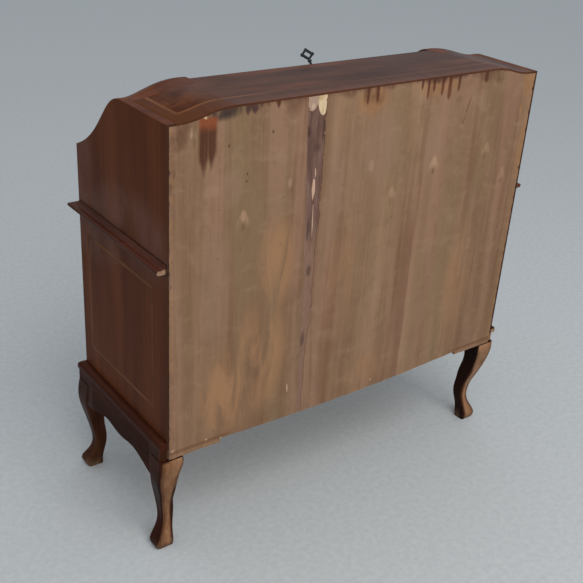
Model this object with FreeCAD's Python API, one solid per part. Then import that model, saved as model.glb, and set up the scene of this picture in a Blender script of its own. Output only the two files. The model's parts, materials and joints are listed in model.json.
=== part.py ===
"""Escritoire with a sloping fall front, long drawers and cabriole legs.

Millimetres, +Z up, front towards -Y. The origin lies on the floor under the middle of the whole desk.
"""
import FreeCAD
import Part
import math
import os

# Carcase. Heights add up from the floor.
CASE_WIDTH = 930.0
CASE_DEPTH = 362.0
LEG_HEIGHT = 267.0          # floor to the underside of the carcase
LOWER_HEIGHT = 369.0        # clear height of the long drawers
FRIEZE_HEIGHT = 79.0        # clear height of frieze drawer and lopers
BOARD = 18.0                # carcase board thickness
SHOULDER_DROP = 18.0        # how far the top falls towards its ends
SHOULDER_RUN = 119.0        # how far in from the side panels the top starts to fall

# Fall front. The desk board and the open fall make one writing surface.
FALL_RUN = 175.0            # depth covered by the sloping fall
FALL_SLOPE = 41.75          # degrees
FALL_THICKNESS = 18.0
FALL_GAP = 1.0

# Cheeks beside the fall.
CHEEK_WIDTH = 136.0
OGEE_RUN = 195.0            # depth of the ogee on the side panels
CHEEK_RUN = 165.0           # depth of the fuller curve beside the fall
CHEEK_DEPTH = 208.0         # where the cheek meets the top board
CHEEK_INSET = 10.0          # thickness of the cheek at its foot
CHEEK_SWELL = 12.0          # fullness of the shoulder between its two ends
OGEE_POLE_SHARES = ((0.0, 0.0), (0.615, 0.345), (0.641, 1.0), (1.0, 1.0))
CHEEK_POLE_SHARES = ((0.0, 0.0), (0.30, 0.29), (0.76, 1.0), (1.0, 1.0))
CHEEK_SECTION_SHARES = (0.0, 0.25, 0.5, 0.75, 1.0)
PARTITION = 12.0

# Back panel, let into a rebate.
BACK_THICKNESS = 8.0
BACK_SIDE_LIP = 5.0
BACK_TOP_LIP = 4.0
BACK_TAB_DROP = 24.0        # tabs at the lower corners, below the carcase
BACK_TAB_WIDTH = 120.0
BACK_EDGE_DROP = 15.0       # lower edge between the tabs
BACK_EDGE_BOW = 9.0
NAIL_RADIUS = 1.0
NAIL_HEAD_RADIUS = 2.4
NAIL_HEAD = 0.7
NAIL_LENGTH = 18.0
NAIL_HEIGHT_SHARES = (0.06, 0.2, 0.34, 0.48, 0.62, 0.76, 0.92)
NAIL_ROW_SHARES = (-0.8, -0.48, -0.16, 0.16, 0.48, 0.8)

# Mouldings.
WAIST_REACH = 18.0
WAIST_HEIGHT = 17.0
WAIST_END_GAP = 4.0
WAIST_PROFILE_SHARES = ((0.0, 0.0), (0.2, 0.34), (0.62, 0.46), (0.72, 0.46), (1.0, 0.73), (0.72, 1.0))
BASE_REACH = 15.0
BASE_PROFILE_SHARES = ((0.16, 0.0), (0.78, 0.2), (1.0, 0.62))
BASE_END_GAP = 1.0

# Stand: cabriole legs and aprons.
LEG_POST = 62.0
POST_HEIGHT = 30.0
POST_REACH = 13.0           # post and apron faces stand this far outside the carcase
LEG_WIDTH = 56.0            # at the knee
KNEE_FLARE = 15.0           # how far knee and toe stand outside the carcase
LEG_EDGE_SHARE = 0.16
# Sections from the floor up: height, width and depth, then how far they stand out at the side, in front
# and behind.
LEG_SECTION_SHARES = (
    (0.0, 0.62, 0.52, 0.50, 1.30, -1.45),
    (0.055, 0.75, 0.63, 0.92, 1.75, -1.25),
    (0.16, 0.56, 0.52, 0.10, 1.00, -1.75),
    (0.30, 0.48, 0.48, -0.58, 0.70, -2.30),
    (0.46, 0.55, 0.55, -0.20, 1.15, -2.05),
    (0.61, 0.70, 0.70, 0.40, 1.55, -1.20),
    (0.75, 0.86, 0.86, 0.95, 1.65, -0.55),
    (0.90, 0.99, 0.99, 1.05, 1.50, 0.07),
    (1.0, 0.95, 0.95, 0.97, 1.05, 0.07),
)
KNEE_BLOCK = 26.0           # height of the square block above the knee
APRON = 20.0
APRON_DEPTH = 80.0
SIDE_APRON_SHARES = ((0.0, 1.0), (0.13, 0.85), (0.27, 0.74), (0.5, 0.82))
FRONT_APRON_SHARES = ((0.0, 1.0), (0.06, 0.78), (0.14, 0.66), (0.32, 0.68), (0.43, 0.86), (0.5, 0.93))
REAR_RAIL_WIDTH = 40.0
REAR_RAIL_HEIGHT = 12.0

# Lopers, pulled out to carry the open fall.
LOPER_WIDTH = 26.0
LOPER_BACK_GAP = 84.0       # behind the loper when it is pushed in
LOPER_INSET = 10.0          # from the end of the fall
LOPER_GAP = 0.8
LOPER_TOP_GAP = 0.4
GUIDE = 12.0
GUIDE_BACK_GAP = 34.0

# Drawers.
DRAWER_COUNT = 2
DRAWER_GAP = 1.0
DRAWER_REST = 0.3           # play between drawer and the board it runs on
DRAWER_FRONT = 20.0
DRAWER_SIDE = 11.0
DRAWER_BACK = 11.0
DRAWER_BOTTOM = 6.0
DRAWER_BOTTOM_RISE = 9.0
DRAWER_BACK_GAP = 19.0      # behind the closed drawer
DRAWER_SIDE_DROP = 12.0     # sides end below the top of the front
KNOB_SPREAD_SHARE = 0.52

# Turned knobs.
KNOB_REACH = 24.0
KNOB_BASE_RADIUS = 9.5
KNOB_RADIUS = 11.0
LOPER_KNOB_REACH = 18.0
LOPER_KNOB_BASE_RADIUS = 6.0
LOPER_KNOB_RADIUS = 8.0
SMALL_KNOB_REACH = 13.0
SMALL_KNOB_BASE_RADIUS = 4.5
SMALL_KNOB_RADIUS = 6.0
KNOB_PROFILE_SHARES = ((0.42, 0.24), (0.42, 0.36), (0.9, 0.58), (1.0, 0.74), (0.74, 0.92))
KNOB_BASE_SHARE = 0.1

# Gallery of pigeonholes and small drawers behind the fall.
GALLERY_SETBACK = 37.0      # behind the front edge of the top, clear of the lock
GALLERY_BOARD = 9.0
SMALL_DRAWER_HEIGHT = 58.0
SMALL_DRAWER_SHARE = 0.3    # of the width between the partitions
SMALL_FRONT = 10.0
SMALL_SIDE = 6.0
SMALL_BOTTOM = 4.0
SMALL_BOTTOM_RISE = 3.0
SMALL_GAP = 0.7
SMALL_SIDE_DROP = 8.0
PIGEONHOLES = 4
DIVIDER_SWEEP = 34.0        # how far the dividers' front edge curves back

# Hinges of the fall; their axis is the front edge of the desk board.
HINGE_INSET = 105.0         # middle of the hinge from the end of the fall
HINGE_LENGTH = 60.0
HINGE_LEAF = 1.6
HINGE_LEAF_WIDTH = 24.0
KNUCKLE_RADIUS = 3.2
KNUCKLE_RELIEF = 4.0
PIN_RADIUS = 1.5
PIN_PLAY = 0.05
KNUCKLE_PLAY = 0.2

# Lining of the fall.
LINING = 1.0
LINING_MARGIN = 42.0
LINING_LOCK_GAP = 10.5

# Lock in the upper edge of the fall, its bolt and its key.
LOCK_WIDTH = 58.0
LOCK_HEIGHT = 40.0
LOCK_DEPTH = 10.5
LOCK_WALL = 2.0
KEY_DROP = 26.0             # keyhole below the upper edge
CHAMBER_RADIUS = 9.0
BOLT_WIDTH = 20.0
BOLT_THICKNESS = 5.0
BOLT_PLAY = 0.25
BOLT_START = 9.6            # lower end of the bolt above the key axis
BOLT_RETREAT = 0.6          # bolt end below the upper edge when unlocked
BOLT_SHOT = 9.0
STRIKE_LENGTH = 44.0
STRIKE_WIDTH = 11.0
STRIKE = 1.2
STRIKE_HOLE_END = 1.0       # room past the shot bolt, under a skin of the top board
STRIKE_HOLE_PLAY = 1.0
KEY_RADIUS = 2.6
KEY_PLAY = 0.08
KEY_TIP = 2.6               # tip of the key inside the lock, from the inner face
KEY_BIT_REACH = 7.6
KEY_BIT_WIDTH = 2.2
KEY_BIT_LENGTH = 4.6
KEY_SLOT_PLAY = 0.5
KEY_OUT = 21.0              # shank outside the fall
KEY_COLLAR_RADIUS = 4.4
KEY_COLLAR = 2.4
BOW_HALF_WIDTH = 17.0
BOW_HALF_HEIGHT = 14.0
BOW_THICKNESS = 3.4
BOW_LOBE_RADIUS = 3.6
BOW_HOLE_SHARE = 0.56
ESCUTCHEON = 0.7
ESCUTCHEON_HALF_WIDTH = 11.0
ESCUTCHEON_HALF_HEIGHT = 17.0

# Places worked out from the sizes above.
slope = math.radians(FALL_SLOPE)
half = CASE_WIDTH / 2
inner = half - BOARD
lead_reach = max([KNOB_REACH] + [KNEE_FLARE * section[4] for section in LEG_SECTION_SHARES])
tail_reach = max([NAIL_HEAD] + [KNEE_FLARE * section[5] for section in LEG_SECTION_SHARES])
front = lead_reach - (CASE_DEPTH + lead_reach + tail_reach) / 2
back = front + CASE_DEPTH
back_face = back - BACK_THICKNESS
base_top = LEG_HEIGHT + BOARD
waist_top = base_top + LOWER_HEIGHT + BOARD
desk_under = waist_top + FRIEZE_HEIGHT
desk_top = desk_under + BOARD
edge_top = desk_top + FALL_THICKNESS / math.cos(slope)
top_height = edge_top + FALL_RUN * math.tan(slope)
side_top = top_height - SHOULDER_DROP
bay = inner - CHEEK_WIDTH
fall_half = bay - FALL_GAP
fall_length = FALL_RUN * math.cos(slope) + (top_height - desk_top) * math.sin(slope) - FALL_GAP
key_place = fall_length - KEY_DROP


def vec(x, y, z):
    return FreeCAD.Vector(x, y, z)


def block(x0, x1, y0, y1, z0, z1):
    return Part.makeBox(x1 - x0, y1 - y0, z1 - z0, vec(x0, y0, z0))


def mirrored(shape):
    return shape.mirror(vec(0, 0, 0), vec(1, 0, 0))


def pair(shape):
    return Part.makeCompound([shape, mirrored(shape)])


def bezier(points):
    curve = Part.BezierCurve()
    curve.setPoles(points)
    return curve.toShape()


def spline(points):
    curve = Part.BSplineCurve()
    curve.interpolate(points)
    return curve.toShape()


def chain(points):
    return [Part.makeLine(a, b) for a, b in zip(points, points[1:])]


def filled(edges):
    return Part.Face(Part.Wire(Part.__sortEdges__(edges)))


def polygon(points):
    return Part.Face(Part.makePolygon(points + points[:1]))


def save(name, shape):
    shape.exportStep("parts/" + name + ".step")


# The dropped shoulder of the top: two equal arcs, level at both ends.
shoulder_start = inner - SHOULDER_RUN
shoulder_radius = (SHOULDER_RUN ** 2 + SHOULDER_DROP ** 2) / (4 * SHOULDER_DROP)


def shoulder_height(x):
    along = min(max(abs(x) - shoulder_start, 0), SHOULDER_RUN)
    if along <= SHOULDER_RUN / 2:
        return top_height - shoulder_radius + math.sqrt(shoulder_radius ** 2 - along ** 2)
    rest = SHOULDER_RUN - along
    return side_top + shoulder_radius - math.sqrt(shoulder_radius ** 2 - rest ** 2)


def shoulder_arc(start, end, y, drop):
    places = [shoulder_start + along for along in (start, (start + end) / 2, end)]
    return Part.Arc(*[vec(x, y, shoulder_height(x) - drop) for x in places]).toShape()


def top_line(y, drop):
    """Edges of the top's outline from one end of the top board to the other."""
    turn = SHOULDER_RUN / 2
    right = [shoulder_arc(0, turn, y, drop), shoulder_arc(turn, SHOULDER_RUN, y, drop)]
    flat_z = top_height - drop
    flat = Part.makeLine(vec(-shoulder_start, y, flat_z), vec(shoulder_start, y, flat_z))
    return right + [flat] + [mirrored(edge) for edge in right]


def cheek_poles(x, set_in, drop):
    """Poles of the cheek's front curve at one place, moved in and down by a thickness."""
    share = (x - bay) / (inner - bay)
    run = CHEEK_RUN + (OGEE_RUN - CHEEK_RUN) * share
    rise = shoulder_height(x) - edge_top
    poles = []
    for near, far in zip(CHEEK_POLE_SHARES, OGEE_POLE_SHARES):
        along = near[0] + (far[0] - near[0]) * share
        up = near[1] + (far[1] - near[1]) * share
        poles.append(vec(x, front + set_in + run * along, edge_top - drop + rise * up))
    poles[2].z = poles[2].z + CHEEK_SWELL * 4 * share * (1 - share)
    return poles


def on_fall(shape):
    """Move a piece drawn flat, hinge axis along X through the origin, onto the closed fall."""
    shape.rotate(vec(0, 0, 0), vec(1, 0, 0), FALL_SLOPE)
    shape.translate(vec(0, front, desk_top))
    return shape


def knob(reach, base_radius, radius, x, y, z):
    """A turned knob standing out towards -Y from the face at y."""
    base = reach * KNOB_BASE_SHARE
    middle = [vec(radius * r, -reach * out, 0) for r, out in KNOB_PROFILE_SHARES]
    tip = vec(0, -reach, 0)
    edges = chain([vec(0, 0, 0), vec(base_radius, 0, 0), vec(base_radius, -base, 0), middle[0]])
    edges = edges + [spline(middle + [tip])] + chain([tip, vec(0, 0, 0)])
    body = filled(edges).revolve(vec(0, 0, 0), vec(0, 1, 0), 360)
    body.translate(vec(x, y, z))
    return body


os.makedirs("parts", exist_ok=True)

# Legs: squarish sections joined by one smooth skin, with a post on top and ears that meet the aprons.
knee_top = LEG_HEIGHT - KNEE_BLOCK
post_in = LEG_POST - POST_REACH
post_x = half - post_in
post_face = half + POST_REACH
post_low = LEG_HEIGHT - POST_HEIGHT
ear_low = LEG_HEIGHT - APRON_DEPTH
lead_face = front - POST_REACH
lead_end = front + post_in
tail_end = back - post_in
apron_room = [
    block(post_x - LEG_WIDTH, half + LEG_WIDTH, lead_end, tail_end, ear_low, LEG_HEIGHT),
    block(post_x - LEG_WIDTH, post_x, front - LEG_WIDTH, back + LEG_WIDTH, ear_low, LEG_HEIGHT),
]


def leg_section(z, x0, x1, y0, y1, radius):
    bend = radius * (1 - math.sqrt(0.5))
    edges = [
        Part.makeLine(vec(x0 + radius, y0, z), vec(x1 - radius, y0, z)),
        Part.Arc(vec(x1 - radius, y0, z), vec(x1 - bend, y0 + bend, z), vec(x1, y0 + radius, z)).toShape(),
        Part.makeLine(vec(x1, y0 + radius, z), vec(x1, y1 - radius, z)),
        Part.Arc(vec(x1, y1 - radius, z), vec(x1 - bend, y1 - bend, z), vec(x1 - radius, y1, z)).toShape(),
        Part.makeLine(vec(x1 - radius, y1, z), vec(x0 + radius, y1, z)),
        Part.Arc(vec(x0 + radius, y1, z), vec(x0 + bend, y1 - bend, z), vec(x0, y1 - radius, z)).toShape(),
        Part.makeLine(vec(x0, y1 - radius, z), vec(x0, y0 + radius, z)),
        Part.Arc(vec(x0, y0 + radius, z), vec(x0 + bend, y0 + bend, z), vec(x0 + radius, y0, z)).toShape(),
    ]
    return Part.Wire(edges)


def leg(corner_y, outward, flares, posts):
    """One leg on the +X side; outward is -1 at the front and 1 at the back."""
    sections = []
    for height, width, depth, side_flare, flare in flares:
        out = KNEE_FLARE * side_flare
        far = KNEE_FLARE * flare
        inward = out - LEG_WIDTH * width
        near = far - LEG_WIDTH * depth
        if knee_top * height > LEG_HEIGHT - APRON_DEPTH - KNEE_BLOCK:
            inward = max(inward, -post_in)
            near = max(near, -post_in)
        y0 = min(corner_y + outward * near, corner_y + outward * far)
        y1 = max(corner_y + outward * near, corner_y + outward * far)
        sections.append(leg_section(knee_top * height, half + inward, half + out, y0, y1,
                                    LEG_WIDTH * depth * LEG_EDGE_SHARE))
    shank = Part.makeLoft(sections, True).cut(apron_room)
    return shank.fuse(posts).removeSplitter()


front_flares = [section[:4] + section[4:5] for section in LEG_SECTION_SHARES]
rear_flares = [section[:4] + section[5:] for section in LEG_SECTION_SHARES]
front_leg = leg(front, -1, front_flares, [
    block(post_x, post_face, lead_face, lead_end, post_low, LEG_HEIGHT),
    block(post_face - APRON, post_face, lead_face, lead_end, ear_low, LEG_HEIGHT),
    block(post_x, post_face, lead_face, lead_face + APRON, ear_low, LEG_HEIGHT),
])
rear_leg = leg(back, 1, rear_flares, [
    block(post_x, post_face, tail_end, back_face, post_low, LEG_HEIGHT),
    block(post_face - APRON, post_face, tail_end, back_face, ear_low, LEG_HEIGHT),
])
save("leg_front_right", front_leg)
save("leg_front_left", mirrored(front_leg))
save("leg_rear_right", rear_leg)
save("leg_rear_left", mirrored(rear_leg))


# Aprons: boards with a shaped lower edge, the same from both ends.
def apron_edge(length, shares):
    there = [(length * along, APRON_DEPTH * down) for along, down in shares]
    return there + [(length - along, down) for along, down in reversed(there[:-1])]


low = [vec(post_face, lead_end + along, LEG_HEIGHT - down)
       for along, down in apron_edge(tail_end - lead_end, SIDE_APRON_SHARES)]
ends = [low[-1], vec(post_face, tail_end, LEG_HEIGHT), vec(post_face, lead_end, LEG_HEIGHT), low[0]]
save("side_aprons", pair(filled([spline(low)] + chain(ends)).extrude(vec(-APRON, 0, 0))))

low = [vec(along - post_x, lead_face, LEG_HEIGHT - down)
       for along, down in apron_edge(post_x + post_x, FRONT_APRON_SHARES)]
ends = [low[-1], vec(post_x, lead_face, LEG_HEIGHT), vec(-post_x, lead_face, LEG_HEIGHT), low[0]]
save("apron_front", filled([spline(low)] + chain(ends)).extrude(vec(0, APRON, 0)))
save("rear_rail", block(-post_x, post_x, back_face - REAR_RAIL_WIDTH, back_face,
                        LEG_HEIGHT - REAR_RAIL_HEIGHT, LEG_HEIGHT))


# Mouldings: one profile run along the front and both sides, mitred at the front corners.
def side_place(out, z):
    return vec(out, 0, z)


def front_place(out, z):
    return vec(0, -out, z)


def moulding(profile, reach, end_y):
    side = filled(profile(side_place)).extrude(vec(0, end_y - front + reach, 0))
    side.translate(vec(half, front - reach, 0))
    corner = polygon([vec(half, front, 0), vec(half + reach, front - reach, 0), vec(half, front - reach, 0)])
    side = side.cut(corner.extrude(vec(0, 0, top_height)))
    lead = filled(profile(front_place)).extrude(vec(CASE_WIDTH + reach + reach, 0, 0))
    lead.translate(vec(-half - reach, front, 0))
    corner = polygon([vec(half, front, 0), vec(half + reach, front - reach, 0), vec(half + reach, front, 0)])
    corner = corner.extrude(vec(0, 0, top_height))
    lead = lead.cut(corner).cut(mirrored(corner))
    return Part.makeCompound([side, mirrored(side), lead])


def waist_profile(place):
    """Hollow above a rounded nose."""
    points = [place(WAIST_REACH * out, waist_top - WAIST_HEIGHT * down)
              for out, down in WAIST_PROFILE_SHARES]
    hollow = Part.Arc(*points[:3]).toShape()
    nose = Part.Arc(*points[3:]).toShape()
    heel = place(0, waist_top - WAIST_HEIGHT)
    return [hollow, nose] + chain(points[2:4]) + chain([points[-1], heel, points[0]])


def base_profile(place):
    """Ovolo above a square foot."""
    points = [place(BASE_REACH * out, base_top - BOARD * down) for out, down in BASE_PROFILE_SHARES]
    foot = [place(BASE_REACH, LEG_HEIGHT), place(0, LEG_HEIGHT), place(0, base_top)]
    return [Part.Arc(*points).toShape()] + chain(points[-1:] + foot + points[:1])


save("waist_moulding", moulding(waist_profile, WAIST_REACH, back - WAIST_END_GAP))
save("base_moulding", moulding(base_profile, BASE_REACH, back - BASE_END_GAP))

# Side panels: ogee front edge, rebate for the back panel.
outline = [vec(inner, front + OGEE_RUN * along, edge_top + (side_top - edge_top) * up)
           for along, up in OGEE_POLE_SHARES]
edges = [bezier(outline)] + chain([outline[-1], vec(inner, back, side_top), vec(inner, back, LEG_HEIGHT),
                                   vec(inner, front, LEG_HEIGHT), outline[0]])
side_panel = filled(edges).extrude(vec(BOARD, 0, 0))
side_panel = side_panel.cut(block(inner, half - BACK_SIDE_LIP, back_face, back,
                                  LEG_HEIGHT, side_top - BACK_TOP_LIP))
save("side_right", side_panel)
save("side_left", mirrored(side_panel))

# Boards across the carcase.
save("bottom_board", block(-inner, inner, front, back_face, LEG_HEIGHT, base_top))
opening = (LOWER_HEIGHT - BOARD * (DRAWER_COUNT - 1)) / DRAWER_COUNT
dividers = []
for number in range(1, DRAWER_COUNT):
    z = base_top + (opening + BOARD) * number
    dividers.append(block(-inner, inner, front, back_face, z - BOARD, z))
save("drawer_divider", Part.makeCompound(dividers))
save("waist_rail", block(-inner, inner, front, back_face, waist_top - BOARD, waist_top))

# Desk board, let in for the hinge leaves along its front edge.
hinge_start = fall_half - HINGE_INSET - HINGE_LENGTH / 2
hinge_end = hinge_start + HINGE_LENGTH


def hinge_relief():
    return Part.makeCylinder(KNUCKLE_RELIEF, HINGE_LENGTH, vec(hinge_start, 0, 0), vec(1, 0, 0))


relief = hinge_relief()
relief.translate(vec(0, front, desk_top))
leaf_bed = block(hinge_start, hinge_end, front, front + HINGE_LEAF_WIDTH, desk_top - HINGE_LEAF, desk_top)
let_in = relief.fuse(leaf_bed)
desk = block(-inner, inner, front, back_face, desk_under, desk_top)
save("desk_board", desk.cut(let_in).cut(mirrored(let_in)))

# Frieze: end panels and the guides of the lopers.
loper_out = fall_half - LOPER_INSET
loper_in = loper_out - LOPER_WIDTH
guide_out = loper_out + LOPER_GAP
guide_in = loper_in - LOPER_GAP
frieze_in = guide_out + GUIDE
bay_in = guide_in - GUIDE
guide_end = back_face - GUIDE_BACK_GAP
outer_guide = block(guide_out, frieze_in, front, guide_end, waist_top, desk_under)
inner_guide = block(bay_in, guide_in, front, guide_end, waist_top, desk_under)
save("loper_guides", Part.makeCompound([pair(outer_guide), pair(inner_guide)]))
save("frieze_panels", pair(block(frieze_in, inner, front, front + BOARD, waist_top, desk_under)))

# Top board: dropped shoulders, a front edge square to the fall, a rebate for the back panel.
ends = [vec(inner, front, side_top), vec(inner, front, side_top - BOARD)]
far_ends = [vec(-inner, front, side_top - BOARD), vec(-inner, front, side_top)]
edges = top_line(front, 0) + chain(ends) + top_line(front, BOARD) + chain(far_ends)
top = filled(edges).extrude(vec(0, CASE_DEPTH, 0))
undercut = BOARD * math.tan(slope)
lead_y = front + FALL_RUN
cut_face = polygon([vec(-bay, front, top_height), vec(-bay, lead_y, top_height),
                    vec(-bay, lead_y + undercut, top_height - BOARD), vec(-bay, front, top_height - BOARD)])
top = top.cut(cut_face.extrude(vec(bay + bay, 0, 0)))
shoulder_void = block(bay, inner, front, front + CHEEK_DEPTH, side_top - BOARD, top_height)
top = top.cut(shoulder_void).cut(mirrored(shoulder_void))
ends = [vec(inner, back_face, side_top - BACK_TOP_LIP), vec(inner, back_face, side_top - BOARD)]
far_ends = [vec(-inner, back_face, side_top - BOARD), vec(-inner, back_face, side_top - BACK_TOP_LIP)]
edges = top_line(back_face, BACK_TOP_LIP) + chain(ends) + chain(far_ends) + top_line(back_face, BOARD)
top = top.cut(filled(edges).extrude(vec(0, BACK_THICKNESS, 0)))
bolt_low = (LOCK_DEPTH - BOLT_THICKNESS) / 2
bolt_half = BOLT_WIDTH / 2
strike_face = fall_length + FALL_GAP
strike_middle = LOCK_DEPTH / 2
bolt_reach = BOLT_SHOT - BOLT_RETREAT - FALL_GAP
strike_bed = on_fall(block(-STRIKE_LENGTH / 2, STRIKE_LENGTH / 2, strike_face, strike_face + STRIKE,
                           strike_middle - STRIKE_WIDTH / 2, strike_middle + STRIKE_WIDTH / 2))
bolt_hole = on_fall(block(-bolt_half - STRIKE_HOLE_PLAY, bolt_half + STRIKE_HOLE_PLAY,
                          strike_face, strike_face + bolt_reach + STRIKE_HOLE_END,
                          bolt_low - STRIKE_HOLE_PLAY, bolt_low + BOLT_THICKNESS + STRIKE_HOLE_PLAY))
save("top_board", top.cut(strike_bed).cut(bolt_hole))
save("strike_plate", strike_bed.cut(bolt_hole))

# Back panel: follows the top, with tabs at the lower corners.
edge_x = half - BACK_SIDE_LIP
tab_x = edge_x - BACK_TAB_WIDTH
tab_z = LEG_HEIGHT - BACK_TAB_DROP
edge_z = LEG_HEIGHT - BACK_EDGE_DROP
lip_z = side_top - BACK_TOP_LIP
down = chain([vec(inner, back_face, lip_z), vec(edge_x, back_face, lip_z), vec(edge_x, back_face, tab_z),
              vec(tab_x, back_face, tab_z), vec(tab_x, back_face, edge_z)])
bow = Part.Arc(vec(tab_x, back_face, edge_z), vec(0, back_face, edge_z - BACK_EDGE_BOW),
               vec(-tab_x, back_face, edge_z)).toShape()
edges = top_line(back_face, BACK_TOP_LIP) + down + [bow] + [mirrored(edge) for edge in down]
save("back_panel", filled(edges).extrude(vec(0, BACK_THICKNESS, 0)))


def nail(x, z):
    shank = Part.makeCylinder(NAIL_RADIUS, NAIL_LENGTH, vec(x, back - NAIL_LENGTH, z), vec(0, 1, 0))
    return shank.fuse(Part.makeCylinder(NAIL_HEAD_RADIUS, NAIL_HEAD, vec(x, back, z), vec(0, 1, 0)))


nails = []
for share in NAIL_HEIGHT_SHARES:
    z = LEG_HEIGHT + (side_top - LEG_HEIGHT) * share
    nails.append(pair(nail((inner + edge_x) / 2, z)))
for z in (LEG_HEIGHT + BOARD / 2, waist_top - BOARD / 2, desk_top - BOARD / 2):
    for share in NAIL_ROW_SHARES:
        nails.append(nail(inner * share, z))
save("back_nails", Part.makeCompound(nails))


# Cheeks: a skin from the full curve beside the fall to the ogee of the side panel.
def cheek_section(x):
    outer_poles = cheek_poles(x, 0, 0)
    under_poles = cheek_poles(x, CHEEK_INSET, BOARD)
    rear_y = front + CHEEK_DEPTH
    foot = vec(x, front, desk_top)
    heel = vec(x, front + CHEEK_INSET, desk_top)
    rear = [vec(x, rear_y, outer_poles[-1].z), vec(x, rear_y, under_poles[-1].z)]
    edges = chain([foot, outer_poles[0]]) + [bezier(outer_poles)]
    edges = edges + chain([outer_poles[-1]] + rear + [under_poles[-1]])
    edges = edges + [bezier(under_poles[::-1])] + chain([under_poles[0], heel, foot])
    return Part.Wire(edges)


cheek = Part.makeLoft([cheek_section(bay + (inner - bay) * s) for s in CHEEK_SECTION_SHARES], True)
save("cheek_right", cheek)
save("cheek_left", mirrored(cheek))

# Partitions between the cheeks and the desk interior.
under = cheek_poles(bay + PARTITION, CHEEK_INSET, BOARD)
under = [vec(bay, p.y, p.z) for p in under]
foot = vec(bay, front + CHEEK_INSET, desk_top)
rear = [vec(bay, back_face, under[-1].z), vec(bay, back_face, desk_top)]
edges = [bezier(under)] + chain([under[-1]] + rear + [foot, under[0]])
partition = filled(edges).extrude(vec(PARTITION, 0, 0))
save("partitions", pair(partition))

# Gallery: uprights and a shelf, small drawers at the ends, pigeonholes above.
gallery_front = front + FALL_RUN + GALLERY_SETBACK
shelf_z = desk_top + SMALL_DRAWER_HEIGHT
small_width = (bay + bay) * SMALL_DRAWER_SHARE
upright_x = bay - small_width
save("gallery_shelf", block(-bay, bay, gallery_front, back_face, shelf_z, shelf_z + GALLERY_BOARD))
save("gallery_uprights", pair(block(upright_x - GALLERY_BOARD, upright_x, gallery_front, back_face,
                                    desk_top, shelf_z)))
hole_width = (bay + bay + GALLERY_BOARD) / PIGEONHOLES
hole_low = shelf_z + GALLERY_BOARD
hole_high = top_height - BOARD
dividers = []
for number in range(1, PIGEONHOLES):
    x = hole_width * number - GALLERY_BOARD - bay
    lead = gallery_front + DIVIDER_SWEEP
    sweep = bezier([vec(x, gallery_front, hole_low), vec(x, lead + DIVIDER_SWEEP, hole_low),
                    vec(x, lead, hole_high), vec(x, gallery_front, hole_high)])
    edges = [sweep] + chain([vec(x, gallery_front, hole_high), vec(x, back_face, hole_high),
                             vec(x, back_face, hole_low), vec(x, gallery_front, hole_low)])
    dividers.append(filled(edges).extrude(vec(GALLERY_BOARD, 0, 0)))
save("pigeonhole_dividers", Part.makeCompound(dividers))

small_x0 = upright_x + SMALL_GAP
small_x1 = bay - SMALL_GAP
small_z0 = desk_top + DRAWER_REST
small_z1 = shelf_z - SMALL_GAP
small_y = gallery_front + SMALL_FRONT
small_back = back_face - SMALL_GAP
side_z = small_z1 - SMALL_SIDE_DROP
floor_z = small_z0 + SMALL_BOTTOM_RISE
small_front = block(small_x0, small_x1, gallery_front, small_y, small_z0, small_z1)
small_knob = knob(SMALL_KNOB_REACH, SMALL_KNOB_BASE_RADIUS, SMALL_KNOB_RADIUS,
                  (small_x0 + small_x1) / 2, gallery_front, (small_z0 + small_z1) / 2)
small_box = Part.makeCompound([
    block(small_x0, small_x0 + SMALL_SIDE, small_y, small_back, small_z0, side_z),
    block(small_x1 - SMALL_SIDE, small_x1, small_y, small_back, small_z0, side_z),
    block(small_x0 + SMALL_SIDE, small_x1 - SMALL_SIDE, small_back - SMALL_SIDE, small_back,
          small_z0, side_z),
    block(small_x0 + SMALL_SIDE, small_x1 - SMALL_SIDE, small_y, small_back - SMALL_SIDE,
          floor_z, floor_z + SMALL_BOTTOM),
])
save("small_drawer_front_right", small_front)
save("small_drawer_front_left", mirrored(small_front))
save("small_drawer_box_right", small_box)
save("small_drawer_box_left", mirrored(small_box))
save("small_drawer_knob_right", small_knob)
save("small_drawer_knob_left", mirrored(small_knob))

# Lopers with their knobs.
loper = block(loper_in, loper_out, front, back_face - LOPER_BACK_GAP,
              waist_top + DRAWER_REST, desk_under - LOPER_TOP_GAP)
loper_knob = knob(LOPER_KNOB_REACH, LOPER_KNOB_BASE_RADIUS, LOPER_KNOB_RADIUS,
                  (loper_in + loper_out) / 2, front, (waist_top + desk_under) / 2)
loper = Part.makeCompound([loper, loper_knob])
save("loper_right", loper)
save("loper_left", mirrored(loper))


# Drawers: front, pair of sides, back, bottom and knobs.
def drawer(name, half_width, low_z, height):
    x = half_width - DRAWER_GAP
    side_x = x - DRAWER_SIDE
    z0 = low_z + DRAWER_REST
    z1 = low_z + height - DRAWER_GAP
    side_top_z = z1 - DRAWER_SIDE_DROP
    box_y = front + DRAWER_FRONT
    rear_y = back_face - DRAWER_BACK_GAP
    sheet_z = z0 + DRAWER_BOTTOM_RISE
    save(name + "_front", block(-x, x, front, box_y, z0, z1))
    save(name + "_sides", pair(block(side_x, x, box_y, rear_y, z0, side_top_z)))
    save(name + "_back", block(-side_x, side_x, rear_y - DRAWER_BACK, rear_y, z0, side_top_z))
    save(name + "_bottom", block(-side_x, side_x, box_y, rear_y - DRAWER_BACK,
                                 sheet_z, sheet_z + DRAWER_BOTTOM))
    save(name + "_knobs", pair(knob(KNOB_REACH, KNOB_BASE_RADIUS, KNOB_RADIUS,
                                    half_width * KNOB_SPREAD_SHARE, front, low_z + height / 2)))


drawer("frieze_drawer", bay_in, waist_top, FRIEZE_HEIGHT)
for number, name in zip(range(DRAWER_COUNT), ("lower_drawer", "upper_drawer")):
    drawer(name, inner, base_top + (opening + BOARD) * number, opening)

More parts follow.
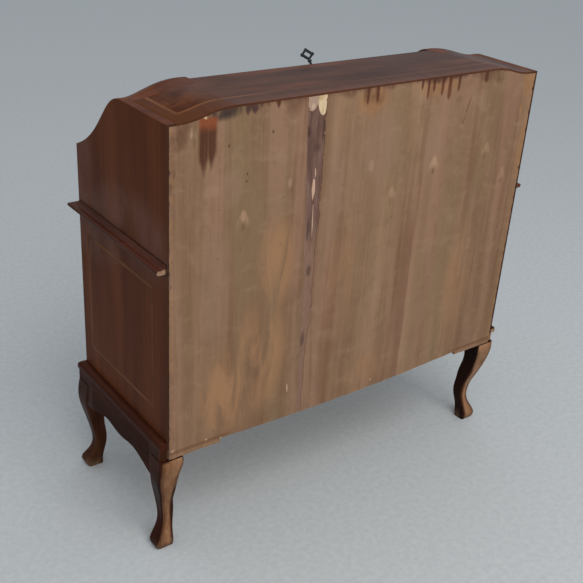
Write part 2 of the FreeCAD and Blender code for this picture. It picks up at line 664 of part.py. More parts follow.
# Fall board, drawn flat. Its lower edge is bevelled so that it stands upright when the fall is closed.
bevel = FALL_THICKNESS * math.tan(slope)
section = polygon([vec(-fall_half, 0, 0), vec(-fall_half, bevel, FALL_THICKNESS),
                   vec(-fall_half, fall_length, FALL_THICKNESS), vec(-fall_half, fall_length, 0)])
fall = section.extrude(vec(fall_half + fall_half, 0, 0))
leaf_bed = block(hinge_start, hinge_end, 0, HINGE_LEAF_WIDTH, 0, HINGE_LEAF)
let_in = hinge_relief().fuse(leaf_bed)
fall = fall.cut(let_in).cut(mirrored(let_in))
lock_low = fall_length - LOCK_HEIGHT
lock_block = block(-LOCK_WIDTH / 2, LOCK_WIDTH / 2, lock_low, fall_length, 0, LOCK_DEPTH)
lining_x = fall_half - LINING_MARGIN
lining = block(-lining_x, lining_x, LINING_MARGIN, lock_low - LINING_LOCK_GAP, 0, LINING)
shank_hole = Part.makeCylinder(KEY_RADIUS + KEY_PLAY, FALL_THICKNESS + ESCUTCHEON, vec(0, key_place, 0))
slot_half = KEY_BIT_WIDTH / 2 + KEY_SLOT_PLAY
slot = block(-slot_half, slot_half, key_place - KEY_BIT_REACH - KEY_SLOT_PLAY, key_place,
             LOCK_DEPTH - LOCK_WALL, FALL_THICKNESS + ESCUTCHEON)
keyhole = shank_hole.fuse(slot)
save("fall_board", on_fall(fall.cut(lock_block).cut(lining).cut(keyhole)))
save("fall_lining", on_fall(lining))

# Hinges: leaf on the fall, leaf on the desk board, pin through their knuckles.
third = HINGE_LENGTH / 3


def knuckle(x0, x1, turned):
    tube = Part.makeCylinder(KNUCKLE_RADIUS, x1 - x0, vec(x0, 0, 0), vec(1, 0, 0))
    if turned:
        return tube.fuse(block(x0, x1, 0, KNUCKLE_RELIEF, 0, HINGE_LEAF))
    return tube.fuse(block(x0, x1, 0, KNUCKLE_RELIEF, -HINGE_LEAF, 0))


bore = Part.makeCylinder(PIN_RADIUS + PIN_PLAY, HINGE_LENGTH, vec(hinge_start, 0, 0), vec(1, 0, 0))
plate = block(hinge_start, hinge_end, KNUCKLE_RELIEF, HINGE_LEAF_WIDTH, 0, HINGE_LEAF)
fall_leaf = plate.fuse(knuckle(hinge_start + third + KNUCKLE_PLAY, hinge_end - third - KNUCKLE_PLAY, True))
save("hinge_fall_leaves", on_fall(pair(fall_leaf.cut(bore).removeSplitter())))
plate = block(hinge_start, hinge_end, KNUCKLE_RELIEF, HINGE_LEAF_WIDTH, -HINGE_LEAF, 0)
desk_leaf = plate.fuse([knuckle(hinge_start, hinge_start + third, False),
                        knuckle(hinge_end - third, hinge_end, False)])
desk_leaves = pair(desk_leaf.cut(bore).removeSplitter())
desk_leaves.translate(vec(0, front, desk_top))
save("hinge_desk_leaves", desk_leaves)
pins = pair(Part.makeCylinder(PIN_RADIUS, HINGE_LENGTH, vec(hinge_start, 0, 0), vec(1, 0, 0)))
pins.translate(vec(0, front, desk_top))
save("hinge_pins", pins)

# Lock case with its key chamber and bolt channel, and the bolt.
chamber = Part.makeCylinder(CHAMBER_RADIUS, LOCK_DEPTH - LOCK_WALL - LOCK_WALL, vec(0, key_place, LOCK_WALL))
channel = block(-bolt_half - BOLT_PLAY, bolt_half + BOLT_PLAY, key_place, fall_length,
                bolt_low - BOLT_PLAY, bolt_low + BOLT_THICKNESS + BOLT_PLAY)
save("lock_case", on_fall(lock_block.cut(chamber).cut(channel).cut(keyhole)))
save("lock_bolt", on_fall(block(-bolt_half, bolt_half, key_place + BOLT_START, fall_length - BOLT_RETREAT,
                                bolt_low, bolt_low + BOLT_THICKNESS)))

# Escutcheon round the keyhole.
plate = Part.Ellipse(vec(0, key_place + ESCUTCHEON_HALF_HEIGHT, FALL_THICKNESS),
                     vec(ESCUTCHEON_HALF_WIDTH, key_place, FALL_THICKNESS),
                     vec(0, key_place, FALL_THICKNESS)).toShape()
plate = Part.Face(Part.Wire([plate])).extrude(vec(0, 0, ESCUTCHEON))
save("escutcheon", on_fall(plate.cut(keyhole)))

# Key: bit, shank, collar and a pierced bow.
bow_low = FALL_THICKNESS + KEY_OUT
bow_middle = bow_low + BOW_HALF_HEIGHT
bow_y = key_place - BOW_THICKNESS / 2


def diamond(share):
    width = BOW_HALF_WIDTH * share
    height = BOW_HALF_HEIGHT * share
    corners = [vec(width, bow_y, bow_middle), vec(0, bow_y, bow_middle + height),
               vec(-width, bow_y, bow_middle), vec(0, bow_y, bow_middle - height)]
    return polygon(corners).extrude(vec(0, BOW_THICKNESS, 0))


def lobe(x, z):
    return Part.makeCylinder(BOW_LOBE_RADIUS, BOW_THICKNESS, vec(x, bow_y, z), vec(0, 1, 0))


lobe_x = BOW_HALF_WIDTH - BOW_LOBE_RADIUS
lobe_z = bow_middle + BOW_HALF_HEIGHT - BOW_LOBE_RADIUS
bow = diamond(1).fuse([lobe(lobe_x, bow_middle), lobe(-lobe_x, bow_middle), lobe(0, lobe_z)])
bow = bow.cut(diamond(BOW_HOLE_SHARE))
shank = Part.makeCylinder(KEY_RADIUS, bow_low + BOW_LOBE_RADIUS - KEY_TIP, vec(0, key_place, KEY_TIP))
collar = Part.makeCylinder(KEY_COLLAR_RADIUS, KEY_COLLAR, vec(0, key_place, bow_low - KEY_COLLAR))
bit = block(-KEY_BIT_WIDTH / 2, KEY_BIT_WIDTH / 2, key_place - KEY_BIT_REACH, key_place,
            KEY_TIP, KEY_TIP + KEY_BIT_LENGTH)
save("key", on_fall(bow.fuse([shank, collar, bit])))
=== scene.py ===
import json
import math
import random

import bmesh
import bpy
from mathutils import Matrix, Vector
from mathutils.geometry import delaunay_2d_cdt


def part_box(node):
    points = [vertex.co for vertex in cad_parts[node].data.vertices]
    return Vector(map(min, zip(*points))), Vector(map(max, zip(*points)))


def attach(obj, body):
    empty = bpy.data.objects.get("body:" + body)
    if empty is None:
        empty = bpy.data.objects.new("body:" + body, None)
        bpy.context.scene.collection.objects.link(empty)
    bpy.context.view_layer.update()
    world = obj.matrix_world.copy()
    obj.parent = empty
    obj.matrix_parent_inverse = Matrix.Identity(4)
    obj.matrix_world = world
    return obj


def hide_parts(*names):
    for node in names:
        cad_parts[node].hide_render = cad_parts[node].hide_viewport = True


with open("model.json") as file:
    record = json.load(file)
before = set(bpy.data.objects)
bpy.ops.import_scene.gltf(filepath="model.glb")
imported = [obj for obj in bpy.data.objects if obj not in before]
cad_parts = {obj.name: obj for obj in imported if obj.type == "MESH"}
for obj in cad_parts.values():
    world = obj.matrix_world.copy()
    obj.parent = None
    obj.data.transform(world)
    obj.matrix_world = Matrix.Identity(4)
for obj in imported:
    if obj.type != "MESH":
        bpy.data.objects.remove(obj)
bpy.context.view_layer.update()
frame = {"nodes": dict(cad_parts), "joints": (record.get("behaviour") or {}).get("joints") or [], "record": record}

# The four cabriole legs, sawn from solid hardwood, stained dark and varnished.
# The faces that stand towards the wall never took the stain, so they stay a raw light brown; the faces of the rear
# legs that turn towards the middle of the desk carry painted shade.
# Each leg carries a square post that the aprons are glued to, and its foot is scuffed.
X, Y, Z = 0, 1, 2


def tone(red, green, blue):
    """A colour as it is seen on a screen, 0 to 255, turned into light."""
    return tuple(((c / 255 + 0.055) / 1.055) ** 2.4 for c in (red, green, blue))


class Finish:
    """A surface finish in the making. Values may be plain numbers, colours or other nodes' sockets."""

    def __init__(self, name):
        self.material = bpy.data.materials.new(name)
        self.material.use_nodes = True
        self.tree = self.material.node_tree
        self.tree.nodes.clear()
        texture = self.tree.nodes.new("ShaderNodeTexCoord")
        self.place = texture.outputs["Object"]
        self.normal = texture.outputs["Normal"]

    def fill(self, socket, value):
        if isinstance(value, bpy.types.NodeSocket):
            self.tree.links.new(value, socket)
        elif socket.type == "RGBA":
            socket.default_value = (*value, 1.0)
        else:
            socket.default_value = value

    def node(self, kind, inputs, **settings):
        node = self.tree.nodes.new("ShaderNode" + kind)
        for key, value in settings.items():
            setattr(node, key, value)
        for key, value in inputs.items():
            self.fill(node.inputs[key], value)
        return node

    def math(self, operation, *values):
        return self.node("Math", dict(enumerate(values)), operation=operation).outputs[0]

    def times(self, *values):
        product = values[0]
        for value in values[1:]:
            product = self.math("MULTIPLY", product, value)
        return product

    def minus(self, value, other):
        return self.math("SUBTRACT", value, other)

    def off(self, value, middle):
        """How far a value is from a middle, on either side."""
        return self.math("ABSOLUTE", self.minus(value, middle))

    def scaled(self, value, factor, start):
        return self.math("MULTIPLY_ADD", value, factor, start)

    def split(self, vector):
        return self.node("SeparateXYZ", {0: vector}).outputs

    def step(self, value, low, high):
        """0 below low and 1 above high, or the other way round when low is the larger."""
        inputs = {"Value": value, "From Min": low, "From Max": high}
        return self.node("MapRange", inputs, interpolation_type="SMOOTHSTEP").outputs[0]

    def noise(self, scale, detail=2.0, roughness=0.5, distortion=0.0, place=None):
        """Noise with scale cells per metre along each axis."""
        stretched = self.node("Mapping", {"Vector": place or self.place, "Scale": scale}).outputs[0]
        inputs = {"Vector": stretched, "Scale": 1.0, "Detail": detail, "Roughness": roughness,
                  "Distortion": distortion}
        return self.node("TexNoise", inputs).outputs[0]

    def ramp(self, factor, *stops):
        node = self.node("ValToRGB", {0: factor})
        elements = node.color_ramp.elements
        elements[0].position, elements[0].color = stops[0][0], (*stops[0][1], 1.0)
        elements[1].position, elements[1].color = stops[-1][0], (*stops[-1][1], 1.0)
        for position, colour in stops[1:-1]:
            elements.new(position).color = (*colour, 1.0)
        return node.outputs[0]

    def mix(self, factor, low, high):
        node = self.node("Mix", {}, data_type="RGBA")
        for key, value in ((0, factor), (6, low), (7, high)):
            self.fill(node.inputs[key], value)
        return node.outputs[2]

    def lay(self, colour, paint, *shares):
        """A colour with paint laid over it, as far as all the shares multiplied say."""
        return self.mix(self.times(*shares), colour, paint)

    def oval(self, across, upward, wide, tall, soft):
        """1 in the middle of an oval and 0 at its edge; across and upward are measured from its middle."""
        sides = [self.math("DIVIDE", across, wide), self.math("DIVIDE", upward, tall)]
        away = self.math("ADD", self.times(sides[0], sides[0]), self.times(sides[1], sides[1]))
        return self.step(away, 1.0, 1.0 - soft)

    def most(self, masks):
        best = masks[0]
        for mask in masks[1:]:
            best = self.math("MAXIMUM", best, mask)
        return best

    def wood(self, along, tones, broad=9.0, fine=240.0, place=None, fine_share=0.38, pore_share=0.5):
        """Colour of wood whose grain runs along the given axes, and the height of its grain."""
        def stretched(across, length):
            return [length if axis in along else across for axis in (X, Y, Z)]
        bands = self.noise(stretched(broad, broad * 0.09), 3.0, 0.55, 0.9, place)
        hills = self.noise(stretched(broad * 0.45, broad * 0.07), 1.0, 0.5, 0.3, place)
        rings = self.math("SINE", self.times(hills, 70.0))
        lines = self.noise(stretched(fine, fine * 0.014), 4.0, 0.65, 0.15, place)
        pores = self.step(self.noise(stretched(fine * 4.5, fine * 0.13), 1.0, 0.5, 0.0, place), 0.6, 0.74)
        level = self.scaled(bands, 1 - fine_share, self.times(lines, fine_share))
        level = self.scaled(rings, 0.035, level)
        dark, middle, light = tones
        colour = self.ramp(level, (0.33, dark), (0.5, middle), (0.68, light))
        colour = self.lay(colour, tuple(c * 0.5 for c in dark), pores, pore_share)
        return colour, self.scaled(pores, -1.0, lines)

    def near_edge(self, radius, start=0.985, full=0.86):
        """1 along the edges of a piece, where the rounded surface turns away from the flat one."""
        rounded = self.node("Bevel", {"Radius": radius}, samples=6).outputs[0]
        flat = self.node("NewGeometry", {}).outputs["Normal"]
        turn = self.node("VectorMath", {0: rounded, 1: flat}, operation="DOT_PRODUCT").outputs["Value"]
        return self.step(turn, start, full)

    def worn_edge(self, radius, low=0.42, high=0.66):
        """1 along the edges of a piece where they are rubbed, broken up along their length."""
        rubbed = self.step(self.noise((60.0, 60.0, 60.0), 3.0, 0.6), low, high)
        return self.times(self.near_edge(radius), rubbed)

    def surface(self, colour, roughness, height=None, depth=0.0002, **constants):
        inputs = {"Base Color": colour, "Roughness": roughness}
        inputs.update({key.replace("_", " "): value for key, value in constants.items()})
        if height is not None:
            bump = self.node("Bump", {"Height": height, "Strength": 1.0, "Distance": depth})
            inputs["Normal"] = bump.outputs[0]
        shader = self.node("BsdfPrincipled", inputs)
        out = self.node("OutputMaterial", {})
        self.tree.links.new(shader.outputs[0], out.inputs[0])
        return self.material


nodes = frame["nodes"]


def dress(node, material):
    """Give a piece of the frame its finish."""
    nodes[node].data.materials.clear()
    nodes[node].data.materials.append(material)


STAINED = (tone(27, 11, 7), tone(47, 21, 13), tone(72, 37, 23))
FRONT_STAIN = (tone(42, 21, 12), tone(71, 40, 24), tone(98, 60, 38))
APRON_STAIN = (tone(30, 13, 8), tone(50, 24, 15), tone(74, 39, 25))
RAW_LEG = (tone(104, 68, 44), tone(138, 99, 70), tone(162, 122, 90))
LEG_GLOSS = 0.04
APRON_GLOSS = 0.015
LEG_WEAR = 0.003
LEG_GRAIN_DEPTH = 0.00012
PANEL_LINE = 0.001
SCUFF_HEIGHT = 0.03
LEG_STAIN_LINE = 0.018
STAIN_WRAP = 0.011
WRAP_LEVELS = 9
KNEE_LOW, KNEE_HIGH = 0.15, 0.19
EAR_LOW, EAR_HIGH = 0.16, 0.20
POST = 0.03
leg_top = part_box("leg_rear_right")[1].z
panel_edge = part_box("back_panel")[1].x


def inner_edge(node, z):
    """How far from the middle of the desk a leg's inner side lies at one height."""
    reach = leg_top / WRAP_LEVELS
    return min(abs(vert.co.x) for vert in nodes[node].data.vertices if abs(vert.co.z - z) < reach)


def bare_rear(finish, colour, along):
    """Darken the faces turned towards the middle of the desk with painted shade, and lay raw wood over the faces
    towards the wall, up to where the stain wraps round the edges.
    """
    axes = finish.split(finish.place)
    facing = finish.split(finish.normal)
    height = axes[Z]
    # Painted shade: the faces that turn towards the middle of the desk are darkened, as if in the shadow of the
    # case.
    inner = finish.step(finish.times(finish.math("SIGN", axes[X]), facing[X]), -0.3, -0.8)
    colour = finish.lay(colour, tone(15, 10, 9), inner, 0.65)
    raw, _ = finish.wood(along, RAW_LEG)
    rear = finish.step(facing[Y], 0.74, 0.93)
    blotch = finish.step(finish.noise((22.0, 22.0, 12.0), 3.0), 0.2, 0.5)
    knee_line = finish.times(finish.near_edge(LEG_STAIN_LINE, 0.997, 0.96),
                             finish.step(height, leg_top - POST, leg_top - POST * 1.8))
    levels = [i / WRAP_LEVELS for i in range(WRAP_LEVELS + 1)]
    stops = [(level, (inner_edge("leg_rear_right", level * leg_top),) * 3) for level in levels]
    inner_line = finish.ramp(finish.math("DIVIDE", height, leg_top), *stops)
    past_inner = finish.minus(finish.math("ABSOLUTE", axes[X]), inner_line)
    wrapped = finish.times(finish.step(past_inner, STAIN_WRAP * 1.3, STAIN_WRAP * 0.6),
                           finish.step(height, KNEE_HIGH, KNEE_LOW))
    post = finish.times(finish.step(height, leg_top - POST * 1.1, leg_top - POST * 0.8),
                        finish.step(axes[X], panel_edge - PANEL_LINE, panel_edge + PANEL_LINE), 0.85)
    bare = finish.minus(1.0, finish.most([knee_line, wrapped, post]))
    return finish.lay(colour, raw, rear, blotch, bare)


def stained_wood(name, along, tones=STAINED, raw_towards_wall=False, gloss=LEG_GLOSS):
    finish = Finish(name)
    colour, grain = finish.wood(along, tones)
    height = finish.split(finish.place)[Z]
    if tones is not APRON_STAIN:
        with_apron, _ = finish.wood((X, Y), APRON_STAIN)
        colour = finish.lay(colour, with_apron, finish.step(height, EAR_LOW, EAR_HIGH))
    if raw_towards_wall:
        colour = bare_rear(finish, colour, along)
    worn = finish.worn_edge(LEG_WEAR)
    colour = finish.lay(colour, tone(120, 76, 48), worn, 0.3)
    scuffs = finish.noise((34.0, 34.0, 34.0), 5.0, 0.65)
    foot = finish.times(finish.step(height, SCUFF_HEIGHT, SCUFF_HEIGHT * 0.2),
                        finish.step(scuffs, 0.42, 0.62))
    colour = finish.lay(colour, tone(118, 92, 72), foot, 0.6)
    roughness = finish.scaled(scuffs, 0.34, 0.22)
    return finish.surface(colour, roughness, grain, LEG_GRAIN_DEPTH, Specular_IOR_Level=gloss)


leg_finish = stained_wood("stained_leg", (Z,), FRONT_STAIN)
rear_leg_finish = stained_wood("stained_rear_leg", (Z,), raw_towards_wall=True)
for side in ("left", "right"):
    dress("leg_front_" + side, leg_finish)
    dress("leg_rear_" + side, rear_leg_finish)

# The aprons between the legs, boards with a sawn, shaped lower edge, glued between the leg posts.
# They are stained and varnished like the legs.
dress("side_aprons", stained_wood("stained_side_apron", (Y,), APRON_STAIN, gloss=APRON_GLOSS))
dress("apron_front", stained_wood("stained_front_apron", (X,), APRON_STAIN, gloss=APRON_GLOSS))

# The boards inside the carcase, the loper guides and the rear rail: planed softwood, left bare.
# Their front edges show between the drawers and carry a thin strip of the case veneer.
# Sharp corners are taken off with a plane.
PINE = (tone(128, 92, 60), tone(164, 126, 86), tone(190, 154, 112))
VENEER = (tone(60, 29, 15), tone(80, 40, 20), tone(100, 53, 28))
BOARD_GRAIN_DEPTH = 0.0002
EASED_EDGE = 0.0008
STRIP = 0.002
STRIP_FADE = 0.0006
MERGE = 1e-6
FLAT_TURN = math.radians(0.5)
SHARP_TURN = math.radians(35)
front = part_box("side_right")[0].y
body_of = {node: body for body, names in frame["record"]["behaviour"]["bodies"].items() for node in names}


def joined_shape(node):
    """The node's own mesh as a bmesh whose faces share their corners."""
    shape = bmesh.new()
    shape.from_mesh(nodes[node].data)
    bmesh.ops.remove_doubles(shape, verts=shape.verts, dist=MERGE)
    return shape


def add_object(name, data):
    """A new object of the scene, at the origin."""
    piece = bpy.data.objects.new(name, data)
    bpy.context.scene.collection.objects.link(piece)
    return piece


def worked_mesh(piece, name):
    """The plain mesh that an object's modifiers make; the object itself is taken away."""
    evaluated = piece.evaluated_get(bpy.context.evaluated_depsgraph_get())
    mesh = bpy.data.meshes.new_from_object(evaluated)
    bpy.data.objects.remove(piece)
    mesh.name = name
    return mesh


def stand_for(piece, node, material):
    """Put a new piece in the place of a node of the frame."""
    piece.data.materials.append(material)
    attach(piece, body_of[node])
    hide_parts(node)
    return piece


def eased(node, material, width=EASED_EDGE, segments=2):
    """The node with its sharp edges taken off."""
    name = node + "_eased"
    shape = joined_shape(node)
    bmesh.ops.dissolve_limit(shape, angle_limit=FLAT_TURN, verts=shape.verts, edges=shape.edges)
    mesh = bpy.data.meshes.new(name)
    shape.to_mesh(mesh)
    shape.free()
    rough = add_object(node + "_rough", mesh)
    bevel = rough.modifiers.new("eased", "BEVEL")
    bevel.width = width
    bevel.segments = segments
    bevel.limit_method = "ANGLE"
    bevel.angle_limit = SHARP_TURN
    bevel.harden_normals = True
    bevel.use_clamp_overlap = True
    return stand_for(add_object(name, worked_mesh(rough, name)), node, material)


def front_strip(finish, colour, along):
    """Lay a thin strip of veneer over the front edge."""
    strip, _ = finish.wood(along, VENEER)
    edge = finish.step(finish.split(finish.place)[Y], front + STRIP, front + STRIP - STRIP_FADE)
    return finish.lay(colour, strip, edge)


def plain_wood(name, along, tones=PINE, veneered_front=False):
    finish = Finish(name)
    colour, grain = finish.wood(along, tones, 14.0, 200.0)
    dust = finish.noise((7.0, 7.0, 7.0), 4.0, 0.6)
    colour = finish.lay(colour, tone(112, 84, 58), finish.step(dust, 0.45, 0.75), 0.6)
    roughness = finish.scaled(dust, 0.3, 0.45)
    if veneered_front:
        colour = front_strip(finish, colour, along)
    return finish.surface(colour, roughness, grain, BOARD_GRAIN_DEPTH, Specular_IOR_Level=0.08)


board_finish = plain_wood("case_board", (X,), veneered_front=True)
for name in ("bottom_board", "drawer_divider", "waist_rail", "rear_rail"):
    eased(name, board_finish)
eased("loper_guides", plain_wood("loper_guide", (Y,), veneered_front=True))

# The side panels, veneered boards with an ogee front edge and their grain upright.
# A rectangle of pale banding is let into the lower part, between the two mouldings.
# The top edge is covered by the cross-banded border of the top.
side_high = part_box("side_right")[1]
half = side_high.x
back = side_high.y
side_top = side_high.z
base_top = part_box("base_moulding")[1].z
waist_low, waist_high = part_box("waist_moulding")
BANDING = (tone(84, 48, 29), tone(106, 65, 40), tone(126, 82, 52))
BAND_WIDTH = 0.0075
BAND_LINE = 0.0012
BAND_FRONT_INSET = 0.038
BAND_BACK_INSET = 0.056
BAND_FOOT_INSET = 0.058
BAND_HEAD_INSET = 0.049
VARNISH_GLOSS = 0.06
VARNISH_WEAR = 0.0025
SIDE_GLOSS = 0.03
VARNISH_GRAIN_DEPTH = 0.00006
SHADE_LINE_REACH = 0.007
SHADE_LINE_CORE = 0.001
# Patches of painted sheen, standing for reflections in the varnish: y and z of the middle, half depth, half height
# and share.
PAINTED_SHEEN_PATCHES = ((front + 0.005, waist_high.z + 0.10, 0.08, 0.18, 0.32),
                 (0.07, waist_high.z + 0.02, 0.20, 0.095, 0.46),
                 (front + 0.05, waist_low.z - 0.01, 0.18, 0.10, 0.5))


def banding(finish, colour, place, across, upward, low, high, width=BAND_WIDTH, share=1.0):
    """Lay a rectangle of pale banding with dark edges into a colour; low and high are its middle lines."""
    axes = finish.split(place)
    reach = []
    for axis, near, far in ((across, low[0], high[0]), (upward, low[1], high[1])):
        off = finish.off(axes[axis], (near + far) / 2)
        reach.append(finish.minus(off, (far - near) / 2))
    inside_out = finish.math("MAXIMUM", *reach)
    away = finish.math("ABSOLUTE", inside_out)
    edge = width / 2
    pale, _ = finish.wood((across, upward), BANDING, 30.0, 90.0, place)
    dark = finish.step(away, edge + BAND_LINE, edge + BAND_LINE * 0.7)
    colour = finish.lay(colour, tone(24, 11, 7), dark, 0.4, share)
    band = finish.step(away, edge + BAND_LINE * 0.2, edge - BAND_LINE * 0.2)
    colour = finish.lay(colour, pale, band, share)
    return colour, inside_out


def polished(finish, colour, grain, dull=0.24, rubbed=0.5, gloss=VARNISH_GLOSS):
    """Old varnish: a soft gloss, with dull scuffed clouds and rubbed edges."""
    worn = finish.worn_edge(VARNISH_WEAR)
    colour = finish.lay(colour, tone(132, 84, 50), worn, rubbed)
    clouds = finish.noise((6.0, 6.0, 6.0), 5.0, 0.62)
    roughness = finish.scaled(clouds, dull, 0.24)
    return finish.surface(colour, roughness, grain, VARNISH_GRAIN_DEPTH, Specular_IOR_Level=gloss)


def side_finish():
    finish = Finish("side_veneer")
    colour, grain = finish.wood((Z,), VENEER, 7.0, fine_share=0.25, pore_share=0.25)
    axes = finish.split(finish.place)
    # Painted sheen: greyish patches laid into the colour, standing for reflections in the varnish.
    clouds = []
    for y, z, wide, tall, share in PAINTED_SHEEN_PATCHES:
        cloud = finish.oval(finish.minus(axes[Y], y), finish.minus(axes[Z], z), wide, tall, 1.0)
        clouds.append(finish.times(cloud, share))
    broken = finish.step(finish.noise((11.0, 11.0, 7.0), 4.0, 0.6), 0.2, 0.7)
    colour = finish.lay(colour, tone(122, 93, 84), finish.most(clouds), broken)
    # Painted shade: dark lines on the side along the edges of the waist and base mouldings, where shade falls in
    # the corners.
    corners = [finish.step(finish.off(axes[Z], z), SHADE_LINE_REACH, SHADE_LINE_CORE)
               for z in (waist_low.z, waist_high.z, base_top)]
    colour = finish.lay(colour, tone(22, 11, 8), finish.most(corners), 0.7)
    colour, _ = banding(finish, colour, finish.place, Y, Z,
                        (front + BAND_FRONT_INSET, base_top + BAND_FOOT_INSET),
                        (back - BAND_BACK_INSET, waist_low.z - BAND_HEAD_INSET))
    end_band, _ = finish.wood((X,), VENEER, 12.0)
    facing = finish.split(finish.normal)
    colour = finish.lay(colour, end_band, finish.step(facing[Z], 0.5, 0.8))
    colour = finish.lay(colour, tone(52, 39, 33), finish.step(facing[Y], 0.5, 0.8), 0.75)
    return polished(finish, colour, grain, rubbed=0.12, gloss=SIDE_GLOSS)


side_veneer = side_finish()
for side in ("left", "right"):
    eased("side_" + side, side_veneer)

# The waist and base mouldings, run in solid wood, stained and mitred at the front corners.
# The side lengths stop just short of the back; one sawn end of each was never stained.
WAIST_STAIN = (tone(58, 29, 20), tone(84, 46, 34), tone(110, 68, 52))
BASE_STAIN = (tone(44, 18, 10), tone(60, 28, 17), tone(80, 42, 28))
WAIST_GLOSS = 0.07
BASE_GLOSS = 0.04
MOULDING_WEAR = 0.002
MOULDING_GRAIN_DEPTH = 0.0001
# The bare sawn end: how far before the end it starts and is full, and the same over the middle height.
END_FADE = (0.004, 0.001)
END_HEAD_FADE = (0.004, -0.002)
RAW_END = (tone(122, 90, 68), tone(152, 120, 96), tone(176, 146, 122))
for name, stain, gloss, raw_side in (("waist_moulding", WAIST_STAIN, WAIST_GLOSS, 1),
                                     ("base_moulding", BASE_STAIN, BASE_GLOSS, -1)):
    finish = Finish(name)
    colour, grain = finish.wood((X, Y), stain, 10.0, 160.0)
    worn = finish.worn_edge(MOULDING_WEAR)
    colour = finish.lay(colour, tone(118, 72, 46), worn, 0.3)
    raw, _ = finish.wood((Y,), RAW_END, 40.0, 500.0)
    axes = finish.split(finish.place)
    low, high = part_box(name)
    middle = (low.z + high.z) / 2
    at_end = finish.times(finish.step(axes[Y], *[high.y - before for before in END_FADE]),
                          finish.step(finish.times(axes[X], raw_side), 0.0, half),
                          finish.step(axes[Z], *[middle + over for over in END_HEAD_FADE]))
    sawn = finish.times(finish.step(finish.split(finish.normal)[Y], 0.9, 0.98), at_end)
    colour = finish.lay(colour, raw, sawn)
    roughness = finish.scaled(finish.noise((25.0, 25.0, 25.0), 4.0), 0.3, 0.2)
    dress(name, finish.surface(colour, roughness, grain, MOULDING_GRAIN_DEPTH, Specular_IOR_Level=gloss))

# The back panel, a plywood sheet nailed into a rebate of the case, never stained or varnished.
# Its face ply has torn away in a tall strip, so that the darker core shows between two sheets.
# Damp has run down from the top edge and left stains, and the edges are chipped.
random.seed(7)
panel_low, panel_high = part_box("back_panel")
PLY = 0.0009
PLY_SUNK = 0.0001
OUTLINE_MERGE = 1e-7
SHOULDER_RUN = 0.119
SHOULDER_STEPS = 12
TAB_WIDTH = 0.12
PANEL_EDGE_DROP = 0.009
BOW_STEPS = 30
TEAR_STEP = 0.004
TEAR_DRIFT = 0.0011
SPLINTER_CHANCE = 0.09
SPLINTER_REACH = (0.002, 0.005)
# Rough edges: the size of a nick, and the chance that it is a deep one.
SIDE_NICK = (0.0019, 0.14)
TAB_NICK = (0.0012, 0.12)
FOOT_NICK = (0.0009, 0.08)
DEEP_NICK = 3.0
SHALLOW_NICK = 0.35
SLIVER_TIP = 0.003
SLIVER_SKEW = 0.004
# The two sides of the tear, as heights and places.
TEAR_LEFT = ((0.240, 0.1440), (0.319, 0.1480), (0.451, 0.1517), (0.575, 0.1535), (0.715, 0.1590),
             (0.867, 0.1677), (0.950, 0.1700))
TEAR_RIGHT = ((0.240, 0.1335), (0.394, 0.1343), (0.445, 0.1312), (0.469, 0.1250), (0.640, 0.1275),
              (0.710, 0.1245), (0.902, 0.1255), (0.950, 0.1250))
shoulder_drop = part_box("top_board")[1].z - side_top
shoulder_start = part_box("top_board")[1].x - SHOULDER_RUN
shoulder_radius = (SHOULDER_RUN ** 2 + shoulder_drop ** 2) / (4 * shoulder_drop)
panel_half = panel_high.x


def panel_head(x):
    """Height of the panel's upper edge, which follows the dropped shoulders of the top."""
    along = min(max(abs(x) - shoulder_start, 0), SHOULDER_RUN)
    if along <= SHOULDER_RUN / 2:
        return panel_high.z - shoulder_radius + math.sqrt(shoulder_radius ** 2 - along ** 2)
    rest = SHOULDER_RUN - along
    return panel_high.z - shoulder_drop + shoulder_radius - math.sqrt(shoulder_radius ** 2 - rest ** 2)


def panel_foot(x):
    """Height of the panel's lower edge between its two tabs."""
    return panel_low.z + PANEL_EDGE_DROP * (x / (panel_half - TAB_WIDTH)) ** 2


def between(points, z):
    """Where a line through (height, place) points lies at one height."""
    for (low, start), (high, end) in zip(points, points[1:]):
        if z <= high:
            return start + (end - start) * (z - low) / (high - low)
    return points[-1][1]


def nick(size, chance):
    """How much is missing at one point of a rough edge."""
    return random.uniform(0, size) * (DEEP_NICK if random.random() < chance else SHALLOW_NICK)


def sheet_outline(tear=None):
    """Outline of the panel, or of the part of it from a tear to the +X edge, as (x, z) points."""
    start = between(tear, panel_high.z) if tear else -panel_half
    run = [shoulder_start + SHOULDER_RUN * i / SHOULDER_STEPS for i in range(SHOULDER_STEPS + 1)]
    heads = [start] + ([-x for x in reversed(run)] if not tear else []) + run
    points = [(x, panel_head(x)) for x in heads]
    z = panel_head(panel_half)
    while z > panel_low.z + TEAR_STEP:
        points.append((panel_half - nick(*SIDE_NICK), z))
        z -= TEAR_STEP * 1.7
    tab = panel_half - TAB_WIDTH
    x = panel_half
    while x > tab + TEAR_STEP:
        points.append((x, panel_low.z + nick(*TAB_NICK)))
        x -= TEAR_STEP * 2
    points.append((tab, panel_low.z))
    end = between(tear, panel_low.z) if tear else -tab
    for i in range(BOW_STEPS + 1):
        x = tab + (end - tab) * i / BOW_STEPS
        points.append((x, panel_foot(x) + nick(*FOOT_NICK)))
    if not tear:
        points += [(-tab, panel_low.z), (-panel_half, panel_low.z)]
        return points
    z = panel_low.z + TEAR_STEP
    drift = 0.0
    while z < panel_high.z - TEAR_STEP:
        drift = drift * 0.7 + random.uniform(-TEAR_DRIFT, TEAR_DRIFT)
        splinter = random.uniform(*SPLINTER_REACH) if random.random() < SPLINTER_CHANCE else 0.0
        points.append((between(tear, z) + drift - splinter, z))
        z += TEAR_STEP
    return points


